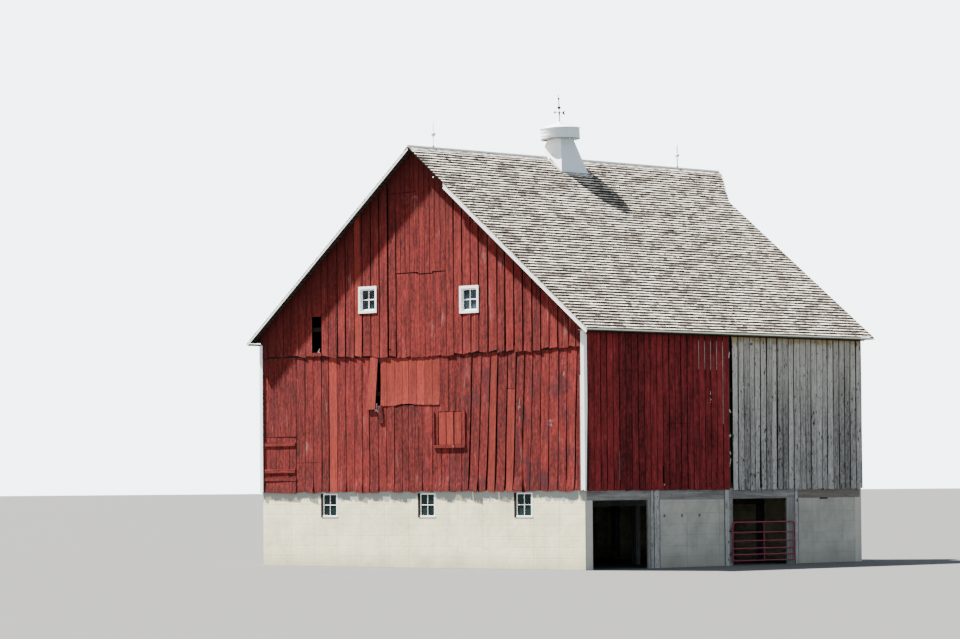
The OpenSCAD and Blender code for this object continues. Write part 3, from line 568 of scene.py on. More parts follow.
class Heap:
    """Copies of small unit shapes, each put in place by its own rule, gathered in one mesh."""

    def __init__(self):
        self.bm = bmesh.new()
        self.grain = self.bm.verts.layers.float_vector.new("grain")
        self.tone = self.bm.faces.layers.float.new("tone")
        self.edge = self.bm.faces.layers.float.new("edge")

    def add(self, unit, rule, tone=0.5):
        """rule takes a point of the unit shape to (place, grain coordinates)."""
        first, first_face = len(self.bm.verts), len(self.bm.faces)
        self.bm.from_mesh(unit)
        self.bm.verts.ensure_lookup_table()
        self.bm.faces.ensure_lookup_table()
        for face in self.bm.faces[first_face:]:
            face[self.tone] = tone
            face[self.edge] = 0.0 if abs(face.normal.y) > 0.5 else 1.0
        for vert in self.bm.verts[first:]:
            vert.co, vert[self.grain] = rule(vert.co)

    def bar(self, unit, size, centre, turn=None, shift=(0, 0, 0), tone=0.5, chamfer=0.003):
        """A straight bar of a size, turned about its centre."""
        turn = turn or Matrix.Identity(3)
        half, origin, shift = Vector(size) / 2, Vector(centre), Vector(shift)

        def rule(point):
            local = Vector((math.copysign(half.x - (chamfer if abs(point.x) < FLAT else 0), point.x),
                            math.copysign(half.y - (chamfer if abs(point.y) < FLAT else 0), point.y),
                            point.z * half.z))
            return origin + turn @ local, local + shift

        self.add(unit, rule, tone)

    def piece(self, name, finish, slot, *replaces):
        make_piece(name, self.bm, finish, slot, *replaces)


def make_piece(name, bm, finish, slot, *replaces):
    """Ends a mesh as a piece of the barn, in place of the nodes that it replaces."""
    mesh = bpy.data.meshes.new(name)
    bm.to_mesh(mesh)
    bm.free()
    mesh.materials.append(finish)
    piece = bpy.data.objects.new(name, mesh)
    bpy.context.scene.collection.objects.link(piece)
    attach(piece, "barn")
    if replaces:
        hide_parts(*replaces)


class Wall:
    """One face of the barn: u runs to the right as seen from outside, v up, and depth inwards."""

    def __init__(self, origin, turn):
        self.origin = Vector(origin)
        self.turn = Matrix.Rotation(math.radians(turn), 3, "Z")

    def at(self, u, depth, v):
        return self.origin + self.turn @ Vector((u, depth, v))


def free_spans(bottom, top, blocks):
    """What is left between two heights once the blocked ranges are taken out."""
    spans = [(bottom, top)]
    for start, end in blocks:
        cut = []
        for a, b in spans:
            if end <= a or start >= b:
                cut.append((a, b))
                continue
            if start > a:
                cut.append((a, start))
            if end < b:
                cut.append((end, b))
        spans = cut
    return spans


class Boarding:
    """How a run of upright boards is put up. Ranges may be functions of the distance along the wall.

    face is how far the boards stand behind the wall's plane, lean how far each one's right edge
    stands proud of its left, kick how far its foot bends outwards, ragged how far its foot runs
    high or low, and sway how far its edges wander.
    """

    def __init__(self, sizes, face=0.0, lean=(0.0, 0.001), kick=(0.0, 0.0), ragged=0.012, sway=0.002,
                 tones=(0.2, 0.8), joint=None):
        self.thick, self.joint = sizes.board_t, joint or sizes.joint
        self.face, self.lean, self.kick = face, lean, kick
        self.ragged, self.sway, self.tones = ragged, sway, tones


def drawn(rng, limits, u):
    """A random value between limits, which may depend on the place along the wall."""
    return rng.uniform(*(limits(u) if callable(limits) else limits))


def clad(pick, unit, wall, edges, foot, head, rng, look, openings=(), opened=()):
    """Upright boards between edges, each a distance along the wall or a pair of them at foot and head.

    pick is the heap, or a function that gives it for a board's middle and foot. foot and head are
    heights, or functions of the distance. openings are cut through as (left, right, low, high), and
    opened lists joints that have opened, as (edge at the head, gap at the foot, gap at the head).
    """
    pick, foot, head = (given if callable(given) else (lambda *_, given=given: given)
                        for given in (pick, foot, head))
    lines = [edge if isinstance(edge, tuple) else (edge, edge) for edge in edges]
    gaps = []
    for line in lines:
        usual = look.joint * rng.uniform(0.6, 1.4)
        gaps.append(next(((o[1], o[2]) for o in opened if abs(o[0] - line[1]) < 0.03), (usual, usual)))
    for k in range(len(lines) - 1):
        sides = ((lines[k][0] + gaps[k][0] / 2, lines[k][1] + gaps[k][1] / 2),
                 (lines[k + 1][0] - gaps[k + 1][0] / 2, lines[k + 1][1] - gaps[k + 1][1] / 2))
        left, right = sum(sides[0]) / 2, sum(sides[1]) / 2
        middle, width = (left + right) / 2, right - left
        v_foot, v_head = foot(middle), head(middle)
        lean, kick = drawn(rng, look.lean, middle), drawn(rng, look.kick, middle)
        tone = drawn(rng, look.tones, middle)
        # Four draws, though the foot takes two, keep the later ones in step
        ends = [rng.uniform(-1, 1) * look.ragged for _ in range(4)]
        waves = [rng.uniform(0, 6.28) for _ in range(3)]
        shift = Vector([rng.uniform(0, GRAIN_SHIFT) for _ in range(3)])
        cuts = sorted({left, right, *(e for o in openings for e in o[:2] if left < e < right)})
        for a, b in zip(cuts, cuts[1:]):
            centre = (a + b) / 2
            blocks = [o[2:] for o in openings if o[0] < centre < o[1]]
            for lower, upper in free_spans(foot(centre), head(centre), blocks):
                at_foot = abs(lower - foot(centre)) < CLOSE
                at_head = abs(upper - head(centre)) < CLOSE

                def rule(point, a=a, b=b, lower=lower, upper=upper, at_foot=at_foot, at_head=at_head):
                    on_right = point.x > 0
                    u = nominal = b if on_right else a
                    side = (nominal - middle) / width
                    v0 = foot(nominal) + ends[0] + ends[1] * side * 2 if at_foot else lower
                    v1 = head(nominal) if at_head else upper
                    v = v0 + (point.z + 1) / 2 * (v1 - v0)
                    up = (v - v_foot) / (v_head - v_foot)
                    if nominal in (left, right):
                        line = sides[1] if nominal == right else sides[0]
                        u = line[0] + (line[1] - line[0]) * up
                        u += look.sway * math.sin(v * EDGE_WAVE + waves[1 if on_right else 0])
                        if abs(point.x) < FLAT:
                            u += -CHAMFER if on_right else CHAMFER
                    bow = 1 + BOW * math.sin(v * BOW_WAVE + waves[2])
                    bend = kick * max(0.0, 1 - (v - v_foot) / KICK_REACH) ** 2
                    depth = look.face - lean * (side + 0.5) * bow - bend
                    depth += 0 if point.y < 0 else look.thick
                    if abs(point.y) < FLAT:
                        depth += CHAMFER if point.y < 0 else -CHAMFER
                    return wall.at(u, depth, v), Vector((u, depth, v)) + shift

                pick(middle, lower).add(unit, rule, tone)


def spread(start, end, count, rng, jitter=0.10):
    """Edges of a count of boards from start to end, each a little out of place."""
    step = (end - start) / count
    inner = [start + step * (k + rng.uniform(-jitter, jitter)) for k in range(1, count)]
    return [start, *inner, end]


def through(points):
    """A function that runs in straight lines through some points."""
    def value(u):
        if u <= points[0][0]:
            return points[0][1]
        for (u0, v0), (u1, v1) in zip(points, points[1:]):
            if u <= u1:
                return v0 + (v1 - v0) * (u - u0) / (u1 - u0)
        return points[-1][1]

    return value


# Walls, by the sides of the barn
FRONT = Wall((0, FRONT_Y, 0), 0)
RIGHT = Wall((HALF_W, 0, 0), 90)
BACK = Wall((0, BACK_Y, 0), 180)
LEFT = Wall((-HALF_W, 0, 0), -90)

LAP_LINE = through([(-HALF_W, LAP_Z + 0.085), (-4.08, LAP_Z + 0.096), (-3.66, LAP_Z + 0.042),
                    (0.13, LAP_Z - 0.071), (2.86, LAP_Z + 0.003), (4.62, LAP_Z - 0.026),
                    (HALF_W, LAP_Z + 0.059)])
PATCH_FOOT = FOOT + 2.52
PATCH_EDGES = [-1.46, -1.20, -0.88, -0.56, -0.30, 0.04, 0.36, 0.68, 0.98]
# How far the boards reach below the foot of the wall
SKIRT = 0.012
HATCH = (0.90, 1.86, FOOT + 1.32, FOOT + 2.29)
LOW_DOOR = (low("low_door", 0) - 0.001, high("low_door", 0) + 0.001, FOOT + 0.44, FOOT + 1.66)
HAY_DOOR = (low("hay_door", 0) - 0.005, high("hay_door", 0) + 0.005, LAP_Z - 0.3,
            high("hay_door", 2) + 0.005)
# The boards over the hay door end in three steps: (right end, foot)
HAY_STEPS = [(0.161, HAY_DOOR[3] - 0.012), (0.731, HAY_DOOR[3] - 0.062), (HAY_DOOR[1], HAY_DOOR[3] - 0.020)]
LOST_BOARD = (-4.35, -3.95, LAP_Z + 0.18, LAP_Z + 1.25)
WINDOWS = [(-1.955, FOOT + 5.615), (2.220, FOOT + 5.460)]
WINDOW_HALF = (0.327, 0.337)
CELLAR_X = [-3.650, 0.445, 4.300]
UPPER_EDGES = [-HALF_W, -6.30, -5.95, -5.62, -5.28, -4.96, -4.63, -4.35, -3.95, -3.66, -3.26, -2.91,
               -2.53, -2.19, -1.83, -1.47, -1.10, -0.77, -0.57, -0.38, -0.19, 0.0, 0.20, 0.42, 0.63,
               0.85, 1.07, 1.30, 1.60, 1.94, 2.28, 2.60, 2.97, 3.32, 3.64, 3.99, 4.34, 4.69, 5.03,
               5.34, 5.68, 6.09, 6.35, HALF_W]
UPPER_OPEN = [(-3.95, 0.018, 0.016), (-3.26, 0.046, 0.022), (-2.91, 0.034, 0.018), (-2.53, 0.030, 0.012),
              (-2.19, 0.050, 0.016), (-1.83, 0.030, 0.032), (-1.47, 0.026, 0.044), (-1.10, 0.060, 0.062),
              (-0.77, 0.030, 0.003), (0.63, 0.022, 0.008), (1.07, 0.010, 0.003), (1.60, 0.020, 0.044),
              (1.94, 0.024, 0.030), (2.28, 0.012, 0.026), (2.60, 0.022, 0.028), (2.97, 0.056, 0.026),
              (3.32, 0.006, 0.006), (3.64, 0.062, 0.028), (3.99, 0.060, 0.028), (4.34, 0.060, 0.026),
              (4.69, 0.056, 0.024), (5.03, 0.036, 0.024), (5.34, 0.006, 0.010), (5.68, 0.058, 0.030),
              (6.09, 0.020, 0.016)]
# Below the lap the boards of the right half lean: (place at the foot, place at the lap)
LOWER_EDGES = [-HALF_W, -6.545, -5.09, -4.70, -4.35, -3.98, -3.66, -3.31, -2.94, -2.58, -2.24, -1.94,
               -1.56, -1.22, -0.90, -0.57, -0.31, -0.05, 0.26, 0.68, 1.04, 1.35, 1.61, 1.86,
               (2.13, 2.32), (2.48, 2.71), (2.83, 3.06), (3.18, 3.34), (3.57, 3.72), (3.89, 4.07),
               (4.21, 4.38), (4.53, 4.70), (4.87, 5.04), (5.24, 5.33), (5.61, 5.69), (5.92, 6.01),
               (6.25, 6.39), HALF_W]
LOWER_OPEN = [(-3.98, 0.030, 0.016), (-3.66, 0.028, 0.026), (-2.94, 0.020, 0.026), (-1.94, 0.034, 0.010),
              (2.32, 0.052, 0.050), (2.71, 0.018, 0.018), (3.06, 0.060, 0.018), (3.34, 0.060, 0.050),
              (3.72, 0.058, 0.026), (4.07, 0.030, 0.036), (4.38, 0.040, 0.008), (4.70, 0.020, 0.008),
              (5.04, 0.058, 0.010), (5.33, 0.036, 0.010), (5.69, 0.010, 0.010), (6.01, 0.014, 0.010),
              (6.39, 0.044, 0.012)]
# Splits in single boards: (left, right, low, high)
LOWER_SPLITS = [(4.895, 4.935, FOOT + 0.50, FOOT + 0.90), (4.24, 4.258, FOOT + 0.15, FOOT + 1.78),
                (0.10, 0.112, FOOT + 0.3, FOOT + 1.9), (1.16, 1.172, FOOT + 0.1, FOOT + 0.95),
                (3.645, 3.980, FOOT + 2.870, FOOT + 2.884), (-5.09, -3.98, FOOT + 0.868, FOOT + 0.878)]
UPPER_SPLITS = [(-1.135, -0.985, LAP_Z + 0.16, LAP_Z + 0.19), (5.835, 5.85, LAP_Z + 0.05, LAP_Z + 0.9),
                (-0.95, 0.10, FOOT + 8.655, FOOT + 8.670)]
# The long side's boards: red ones up to the gap, then bare ones (place at the foot, place at the eave)
RED_COUNT = 23
RED_SPLITS = [(-3.43, -3.39, FOOT + 0.10, FOOT + 1.05), (-3.46, -3.39, FOOT + 0.20, FOOT + 0.66),
              (-5.17, -4.67, FOOT + 3.344, FOOT + 3.356), (-3.18, -2.32, FOOT + 1.879, FOOT + 1.891)]
GREY_EDGES = [GREY_Y, (-0.18, -0.14), (0.08, 0.11), (0.34, 0.37), (0.57, 0.59), (0.81, 0.85),
              (1.06, 1.13), (1.31, 1.38), (1.56, 1.61), (1.81, 1.86), (2.06, 2.12), (2.32, 2.36),
              (2.62, 2.64), (2.86, 2.90), (3.11, 3.15), (3.37, 3.42), (3.64, 3.70), (3.87, 3.92),
              (4.15, 4.19), (4.42, 4.46), (4.67, 4.72), (4.92, 4.99), (5.22, 5.25), BACK_Y - 0.019]
GREY_OPEN = [(-0.14, 0.040, 0.046), (0.11, 0.032, 0.036), (0.37, 0.026, 0.032), (0.59, 0.032, 0.022),
             (0.85, 0.075, 0.016), (1.13, 0.024, 0.072), (1.38, 0.028, 0.030), (1.61, 0.058, 0.064),
             (1.86, 0.052, 0.016), (2.12, 0.030, 0.042), (2.36, 0.038, 0.036), (2.64, 0.028, 0.030),
             (2.90, 0.030, 0.034), (3.15, 0.042, 0.032), (3.42, 0.024, 0.022), (3.70, 0.018, 0.016),
             (3.92, 0.034, 0.038), (4.19, 0.030, 0.056), (4.46, 0.042, 0.036), (4.72, 0.052, 0.040),
             (4.99, 0.052, 0.038), (5.25, 0.030, 0.062)]
# Strips over the basement posts: (start, end, thickness, tone)
POST_STRIPS = [(-3.81, -3.60, 0.022, 0.9), (-3.95, -3.84, 0.014, 0.75), (-0.77, -0.60, 0.022, 0.9),
               (2.37, 2.48, 0.022, 0.95)]
# Torn scraps: (wall, place along, height, depth, width, length, tilt in degrees)
SCRAPS = [(RIGHT, -0.535, 6.057, 0.010, 0.035, 0.18, 12), (RIGHT, -0.530, 4.444, 0.006, 0.055, 0.11, -35),
          (RIGHT, -0.540, 3.725, 0.004, 0.060, 0.09, 48), (RIGHT, -0.532, 3.236, 0.006, 0.050, 0.09, -20),
          (RIGHT, -0.538, 2.963, 0.008, 0.030, 0.24, 14), (RIGHT, -0.387, 6.400, 0.002, 0.038, 0.56, -9),
          (RIGHT, -3.400, 2.340, -0.004, 0.040, 0.06, 30),
          (FRONT, -4.190, 6.290, 0.006, 0.050, 0.32, 72), (FRONT, -4.090, 6.365, 0.002, 0.030, 0.20, 35),
          (FRONT, -1.650, 4.660, 0.010, 0.055, 0.24, 14), (FRONT, -1.600, 4.560, 0.004, 0.040, 0.10, -50)]


class BoardFinishes:
    """The paints and woods of the boards, made once."""

    def __init__(self, colours):
        self.front = painted_boards("old_red_paint", colours.red, dark=0.26, light=1.68, gable=True)
        self.trim = painted_boards("red_trim_paint", colours.red, on_node=True)
        # The loose board's red is much darker: painted shade
        self.loose = painted_boards("loose_board_paint", tinted(colours.red, 0.45), on_node=True)
        self.patch = painted_boards("newer_red_paint", colours.fresh_red, weights=(0.70, 1.3, 1.1, 0.7),
                                    stains=0.40, bare=0.15, dark=0.50, light=1.35)
        deep = dict(weights=(0.6, 1.6, 1.8, 1.6), stains=0.75, bare=0.2, dark=0.30, light=1.60)
        self.side = painted_boards("side_red_paint", colours.deep_red, under_eave=True, **deep)
        self.back = painted_boards("back_red_paint", colours.deep_red, **deep)
        self.grey = bare_boards("weathered_boards", colours.grey_wood)


_made = {}


def board_finishes(context):
    if "boards" not in _made:
        _made["boards"] = BoardFinishes(context.scene.barn_colours)
    return _made["boards"]


def draws(context, offset):
    return random.Random(context.scene.barn_sizes.seed * 1000 + offset)


# Camera and stage

# The camera's turn to the left, upwards and about its own line in degrees, and its place in metres
VIEW_ANGLES = (44.5418, 2.5458, -0.4689)
VIEW_FROM = (75.8705, -81.0934, 2.4269)
FOCAL_PIXELS, PICTURE_WIDTH, SENSOR_MM = 3681.89, 960, 36
SUN_DIRECTION = (0.514, 0.166, -0.841)


class BARN_OT_stage(bpy.types.Operator):
    """Pale floor, soft light and the camera at the picture's viewing angle"""

    bl_idname = "barn.stage"
    bl_label = "Stage"

    def execute(self, context):
        scene = context.scene
        self.camera(scene)
        self.floor(scene)
        self.light(scene)
        return {"FINISHED"}

    def camera(self, scene):
        yaw, up, roll = (math.radians(a) for a in VIEW_ANGLES)
        forward = Vector((-math.sin(yaw) * math.cos(up), math.cos(yaw) * math.cos(up), math.sin(up)))
        level = Vector((math.cos(yaw), math.sin(yaw), 0))
        top = level.cross(forward)
        right = level * math.cos(roll) + top * math.sin(roll)
        upward = top * math.cos(roll) - level * math.sin(roll)
        data = bpy.data.cameras.new("camera")
        data.sensor_width = SENSOR_MM
        data.lens = FOCAL_PIXELS / PICTURE_WIDTH * SENSOR_MM
        data.clip_start, data.clip_end = 1, 3000
        camera = bpy.data.objects.new("camera", data)
        turn = Matrix((right, upward, -forward)).transposed().to_4x4()
        camera.matrix_world = Matrix.Translation(VIEW_FROM) @ turn
        scene.collection.objects.link(camera)
        scene.camera = camera

    def floor(self, scene):
        bm = bmesh.new()
        bmesh.ops.create_circle(bm, cap_ends=True, segments=96, radius=900)
        finish = Finish("pale_floor", (0.098, 0.098, 0.095), roughness=0.95, specular=0.05)
        finish.coat((0.104, 0.104, 0.101), finish.noise(finish.place(), 0.4, 3.0, 0.5))
        mesh = bpy.data.meshes.new("floor")
        bm.to_mesh(mesh)
        bm.free()
        mesh.materials.append(finish.done())
        floor = bpy.data.objects.new("floor", mesh)
        scene.collection.objects.link(floor)

    def light(self, scene):
        """A sun, a soft blue fill, and a pale backdrop that only the camera sees."""
        key = bpy.data.lights.new("key", "SUN")
        key.energy = 36
        key.angle = math.radians(1.5)
        key.color = (1.0, 0.975, 0.94)
        lamp = bpy.data.objects.new("key", key)
        lamp.rotation_mode = "QUATERNION"
        lamp.rotation_quaternion = Vector(SUN_DIRECTION).to_track_quat("-Z", "Y")
        scene.collection.objects.link(lamp)
        scene.world = bpy.data.worlds.new("studio")
        scene.world.use_nodes = True
        tree = scene.world.node_tree
        fill = tree.nodes["Background"]
        backdrop = tree.nodes.new("ShaderNodeBackground")
        for node, colour, strength in ((fill, (0.745, 0.863, 1.0, 1), 1.02),
                                       (backdrop, (0.90, 0.96, 1.0, 1), 6.0)):
            node.inputs["Color"].default_value = colour
            node.inputs["Strength"].default_value = strength
        either = tree.nodes.new("ShaderNodeMixShader")
        seen = tree.nodes.new("ShaderNodeLightPath").outputs["Is Camera Ray"]
        for socket, source in zip(either.inputs, (seen, fill.outputs[0], backdrop.outputs[0])):
            tree.links.new(source, socket)
        tree.links.new(either.outputs["Shader"], tree.nodes["World Output"].inputs["Surface"])


# Walls


class BARN_OT_front_boards(bpy.types.Operator):
    """Upright boards of the front gable: old upper and lower boards, the newer patch and the doors"""

    bl_idname = "barn.front_boards"
    bl_label = "Front boards"

    def execute(self, context):
        sizes, paints = context.scene.barn_sizes, board_finishes(context)
        rng = draws(context, 1)
        unit = unit_bar(9)
        newer = Heap()
        self.upper(sizes, paints, rng, unit, newer)
        self.lower(sizes, paints, rng, unit, newer)
        newer.piece("newer_boards", paints.patch, "red_boards")
        self.doors(sizes, paints, rng, unit)
        self.lap_shadow_strip(context, rng)
        return {"FINISHED"}

    def lap_shadow_strip(self, context, rng):
        """Near-black strips under the feet of the upper boards: painted shadow of the lap."""
        unit = unit_bar(0)
        strip = Heap()
        for u0, u1 in zip(UPPER_EDGES, UPPER_EDGES[1:]):
            torn = (rng.uniform(0.012, 0.040), rng.uniform(0.012, 0.040))

            def rule(point, u0=u0, u1=u1, torn=torn):
                u = u0 + (u1 - u0) * (point.z + 1) / 2
                v = LAP_LINE(u) + (0.030 if point.x > 0 else -torn[0 if point.z < 0 else 1])
                depth = 0.0140 if point.y > 0 else 0.0105
                return FRONT.at(u, depth, v), Vector((v, depth, u))

            strip.add(unit, rule, 0.2)
        bmesh.ops.recalc_face_normals(strip.bm, faces=strip.bm.faces[:])
        strip.piece("lap_shadow_strip", shade_timber(context, "lap_shadow_strip", 0), "timber")

    def upper(self, sizes, paints, rng, unit, newer):
        heap = Heap()
        holes = [LOST_BOARD, *UPPER_SPLITS]
        start = HAY_DOOR[0]
        for end, foot in HAY_STEPS:
            holes.append((start, end, HAY_DOOR[2], foot))
            start = end
        for x, z in WINDOWS:
            holes.append((x - WINDOW_HALF[0], x + WINDOW_HALF[0], z - WINDOW_HALF[1], z + WINDOW_HALF[1]))

        def lean(u):
            if -0.8 < u < 1.5:
                return 0.001, 0.004
            return (0.004, 0.011) if u < 0 else (0.006, 0.015)

        def tones(u):
            return (0.45, 0.65) if -0.8 < u < 1.5 else (0.15, 0.85)

        def pick(middle, lower):
            return newer if -2.53 < middle < -2.19 and lower < WINDOWS[0][1] else heap

        look = Boarding(sizes, face=-0.004, lean=lean, kick=(0.0, 0.010), ragged=0.034, tones=tones)
        clad(pick, unit, FRONT, UPPER_EDGES, LAP_LINE, lambda u: under_roof(u) - CLEARANCE, rng, look,
             openings=holes, opened=UPPER_OPEN)
        heap.piece("gable_boards_upper", paints.front, "red_boards", "front_wall_upper")

    def lower(self, sizes, paints, rng, unit, newer):
        face = 0.017
        old = Heap()
        patch = (-1.72, 0.98, PATCH_FOOT - 0.012, LAP_Z + 0.2)

        def pick(middle, lower):
            if -3.66 < middle < -3.31 or 2.83 < middle < 3.18 or (3.57 < middle < 3.98 and lower < FOOT + 1):
                return newer
            return old

        def lean(u):
            if u > 1.9:
                return 0.005, 0.014
            return (0.003, 0.008) if u < -0.9 else (0.001, 0.004)

        def tones(u):
            if -3.66 < u < -3.31:
                return 0.75, 0.85
            if -3.31 < u < -1.94:
                return 0.50, 1.0
            if 2.8 < u < 3.9:
                return 0.05, 0.25
            return (0.0, 0.45) if -1 < u < 0.4 else (0.05, 0.80)

        look = Boarding(sizes, face=face, lean=lean, kick=(0.002, 0.045), ragged=0.022, sway=0.005,
                        tones=tones)
        clad(pick, unit, FRONT, LOWER_EDGES, FOOT - SKIRT, LAP_Z + 0.14, rng, look,
             openings=[HATCH, LOW_DOOR, patch, *LOWER_SPLITS], opened=LOWER_OPEN)
        old.piece("gable_boards_lower", paints.front, "red_boards", "front_wall_lower")
        look = Boarding(sizes, face=face + 0.004, lean=(0.001, 0.003), kick=(0.014, 0.018), ragged=0.010,
                        tones=(0.25, 1.0), joint=0.007)
        clad(newer, unit, FRONT, PATCH_EDGES, lambda u: PATCH_FOOT + (0.026 if -0.85 < u < -0.2 else -0.024),
             lambda u: LAP_LINE(u) + 0.035, rng, look)
        self.beside_gap(newer, unit, rng, sizes, face)

    def beside_gap(self, heap, unit, rng, sizes, face):
        """A board that leans to the left beside the gap, and stands proud at its foot."""
        shift = Vector((rng.uniform(0, GRAIN_SHIFT), 3, 7))
        head, foot = LAP_Z + 0.10, FOOT + 2.40
        left_line, right_line = (-2.03, -1.86), (-1.66, -1.535)

        def rule(point):
            t = (point.z + 1) / 2
            line = left_line if point.x < 0 else right_line
            u = line[0] + (line[1] - line[0]) * t
            v = foot + (head - foot) * t
            proud = 0.014 + 0.030 * (1 - t) + (0.004 if point.x > 0 else 0)
            depth = face - proud + (0 if point.y < 0 else sizes.board_t)
            return FRONT.at(u, depth, v), Vector((u, depth, v)) + shift

        heap.add(unit, rule, 0.55)

    def doors(self, sizes, paints, rng, unit):
        door, shutter, low_door = Heap(), Heap(), Heap()
        inner = [-0.57, -0.38, -0.19, 0.0, 0.20, 0.42, 0.63, 0.85, 1.07]

        def top(u):
            return next(foot for end, foot in HAY_STEPS if u <= end) - 0.030

        look = Boarding(sizes, face=0.002, lean=(0.001, 0.003), ragged=0.020, tones=(0.35, 0.80), joint=0.006)
        clad(door, unit, FRONT, [HAY_DOOR[0] + 0.006, *inner, HAY_DOOR[1] - 0.006],
             lambda u: LAP_LINE(u) - 0.01, top, rng, look)
        door.piece("hay_door_boards", paints.front, "red_boards", "hay_door")
        look = Boarding(sizes, face=0.021, lean=(0.001, 0.003), ragged=0.004, tones=(0.2, 0.7), joint=0.018)
        clad(shutter, unit, FRONT, [HATCH[0] + 0.01, 1.225, 1.540, HATCH[1] - 0.01], HATCH[2] + 0.01,
             HATCH[3] - 0.01, rng, look, opened=[(1.540, 0.040, 0.042)])
        shutter.piece("shutter_boards", paints.patch, "red_boards", "hatch_shutter")
        self.hatch_trim(paints, unit)
        left, right, foot, head = LOW_DOOR
        look = Boarding(sizes, face=0.020, lean=(0.001, 0.003), ragged=0.004)
        clad(low_door, unit, FRONT, spread(left + 0.008, right - 0.008, 5, rng), foot + 0.006, head - 0.008,
             rng, look)
        for inset, z, width, tone in ((0.05, foot + 0.20, 0.12, 0.5), (0.05, head - 0.22, 0.12, 0.5),
                                      (0.0, foot - 0.05, 0.10, 0.3)):
            low_door.add(unit, self.rail(left + inset, right - inset, z, width), tone)
        low_door.piece("low_door_boards", paints.front, "red_boards", "low_door")

    def hatch_trim(self, paints, unit):
        """A proud stile each side of the hatch, a flat one inside the left, and a thin sill."""
        lowest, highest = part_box("hatch_trim")
        trim = Heap()
        for u0, u1, foot, head, proud in (
                (lowest.x + 0.001, lowest.x + 0.026, HATCH[2], highest.z, 0.027),
                (lowest.x + 0.028, HATCH[0] + 0.005, HATCH[2], highest.z, 0.006),
                (HATCH[1] + 0.020, highest.x - 0.001, HATCH[2], highest.z, 0.025),
                (lowest.x, highest.x, lowest.z, HATCH[2] - 0.001, 0.032)):
            wide, tall = u1 - u0, head - foot
            lying = wide > tall
            trim.bar(unit, (tall, proud, wide) if lying else (wide, proud, tall),
                     ((u0 + u1) / 2, highest.y - proud / 2, (foot + head) / 2), QUARTER if lying else None,
                     (u0, 0, foot), 0.45)
        trim.piece("hatch_trim_boards", paints.trim, "red_boards", "hatch_trim")

    def rail(self, u0, u1, z, width):
        def rule(point):
            u = u0 + (u1 - u0) * (point.z + 1) / 2
            v = z + math.copysign(width / 2 - (CHAMFER if abs(point.x) < FLAT else 0), point.x)
            depth = -0.002 if point.y < 0 else 0.020
            return FRONT.at(u, depth, v), Vector((v, depth, u))

        return rule


class BARN_OT_side_boards(bpy.types.Operator):
    """Boards of the long open side, red in its first half and bare grey in its second"""

    bl_idname = "barn.side_boards"
    bl_label = "Right side boards"

    def execute(self, context):
        sizes, paints = context.scene.barn_sizes, board_finishes(context)
        rng = draws(context, 2)
        unit = unit_bar(9)
        red, grey, slips = Heap(), Heap(), Heap()
        edges = spread(FRONT_Y + 0.150, SPLIT_Y, RED_COUNT, rng, 0.04)
        look = Boarding(sizes, lean=(0.0, 0.004), ragged=0.012, tones=(0.1, 0.9), joint=0.029)
        clad(red, unit, RIGHT, edges, FOOT - 0.01, EAVE_HEAD, rng, look, openings=RED_SPLITS)
        red.piece("side_boards_red", paints.side, "red_boards", "side_wall_red")
        for edge in edges[-6:-1]:
            foot = FOOT + (1.87 if edge == edges[-2] else 3.42)
            slips.add(unit, slip_rule(edge, foot, FOOT + 4.25), rng.uniform(0.3, 0.9))
        slips.add(unit, slip_rule(-5.255, FOOT + 0.28, FOOT + 1.12), 0.4)
        slips.piece("pale_slips", paints.grey, "grey_boards")
        look = Boarding(sizes, lean=(-0.006, 0.010), kick=(-0.004, 0.014), ragged=0.020, sway=0.006,
                        tones=(0.0, 1.0), joint=0.019)
        clad(grey, unit, RIGHT, GREY_EDGES, FOOT - 0.02, EAVE_HEAD, rng, look, opened=GREY_OPEN)
        grey.piece("side_boards_grey", paints.grey, "grey_boards", "side_wall_grey")
        return {"FINISHED"}


def slip_rule(u, foot, head):
    """A pale sliver of wood in the joint at u of the long side."""
    def rule(point):
        v = foot + (head - foot) * (point.z + 1) / 2
        half = 0.008 if point.z < 0.9 else 0.004
        depth = 0.002 if point.y < 0 else 0.012
        return RIGHT.at(u + math.copysign(half, point.x), depth, v), Vector((u, depth, v))

    return rule


class BARN_OT_far_boards(bpy.types.Operator):
    """Boards of the closed side and of the back gable with its hay door"""

    bl_idname = "barn.far_boards"
    bl_label = "Left and back boards"

    def execute(self, context):
        sizes, paints = context.scene.barn_sizes, board_finishes(context)
        rng = draws(context, 3)
        unit = unit_bar(7)
        side, gable, door = Heap(), Heap(), Heap()
        look = Boarding(sizes, lean=(0.0, 0.008), ragged=0.016, joint=0.003)
        clad(side, unit, LEFT, spread(-BACK_Y, -FRONT_Y - 0.11, 46, rng), FOOT - SKIRT, EAVE_HEAD, rng, look)
        side.piece("left_boards", paints.side, "red_boards", "left_wall")
        door_x, door_z0, door_z1 = high("back_hay_door", 0), low("back_hay_door", 2), high("back_hay_door", 2)
        opening = (-door_x - 0.005, door_x + 0.005, door_z0 - 0.005, door_z1 + 0.005)
        edges = spread(-HALF_W, 0, 20, rng)[:-1] + spread(0, HALF_W, 20, rng)
        look = Boarding(sizes, lean=(0.0, 0.010), ragged=0.018, joint=0.003)
        clad(gable, unit, BACK, edges, FOOT - SKIRT, lambda u: under_roof(u) - CLEARANCE, rng, look,
             openings=[opening])
        gable.piece("back_boards", paints.back, "red_boards", "back_wall")
        look = Boarding(sizes, face=0.008, ragged=0.0)
        clad(door, unit, BACK, spread(-door_x + 0.004, door_x - 0.004, 10, rng), door_z0, door_z1, rng, look)
        door.piece("back_hay_door_boards", paints.back, "red_boards", "back_hay_door")
        return {"FINISHED"}


# Roof

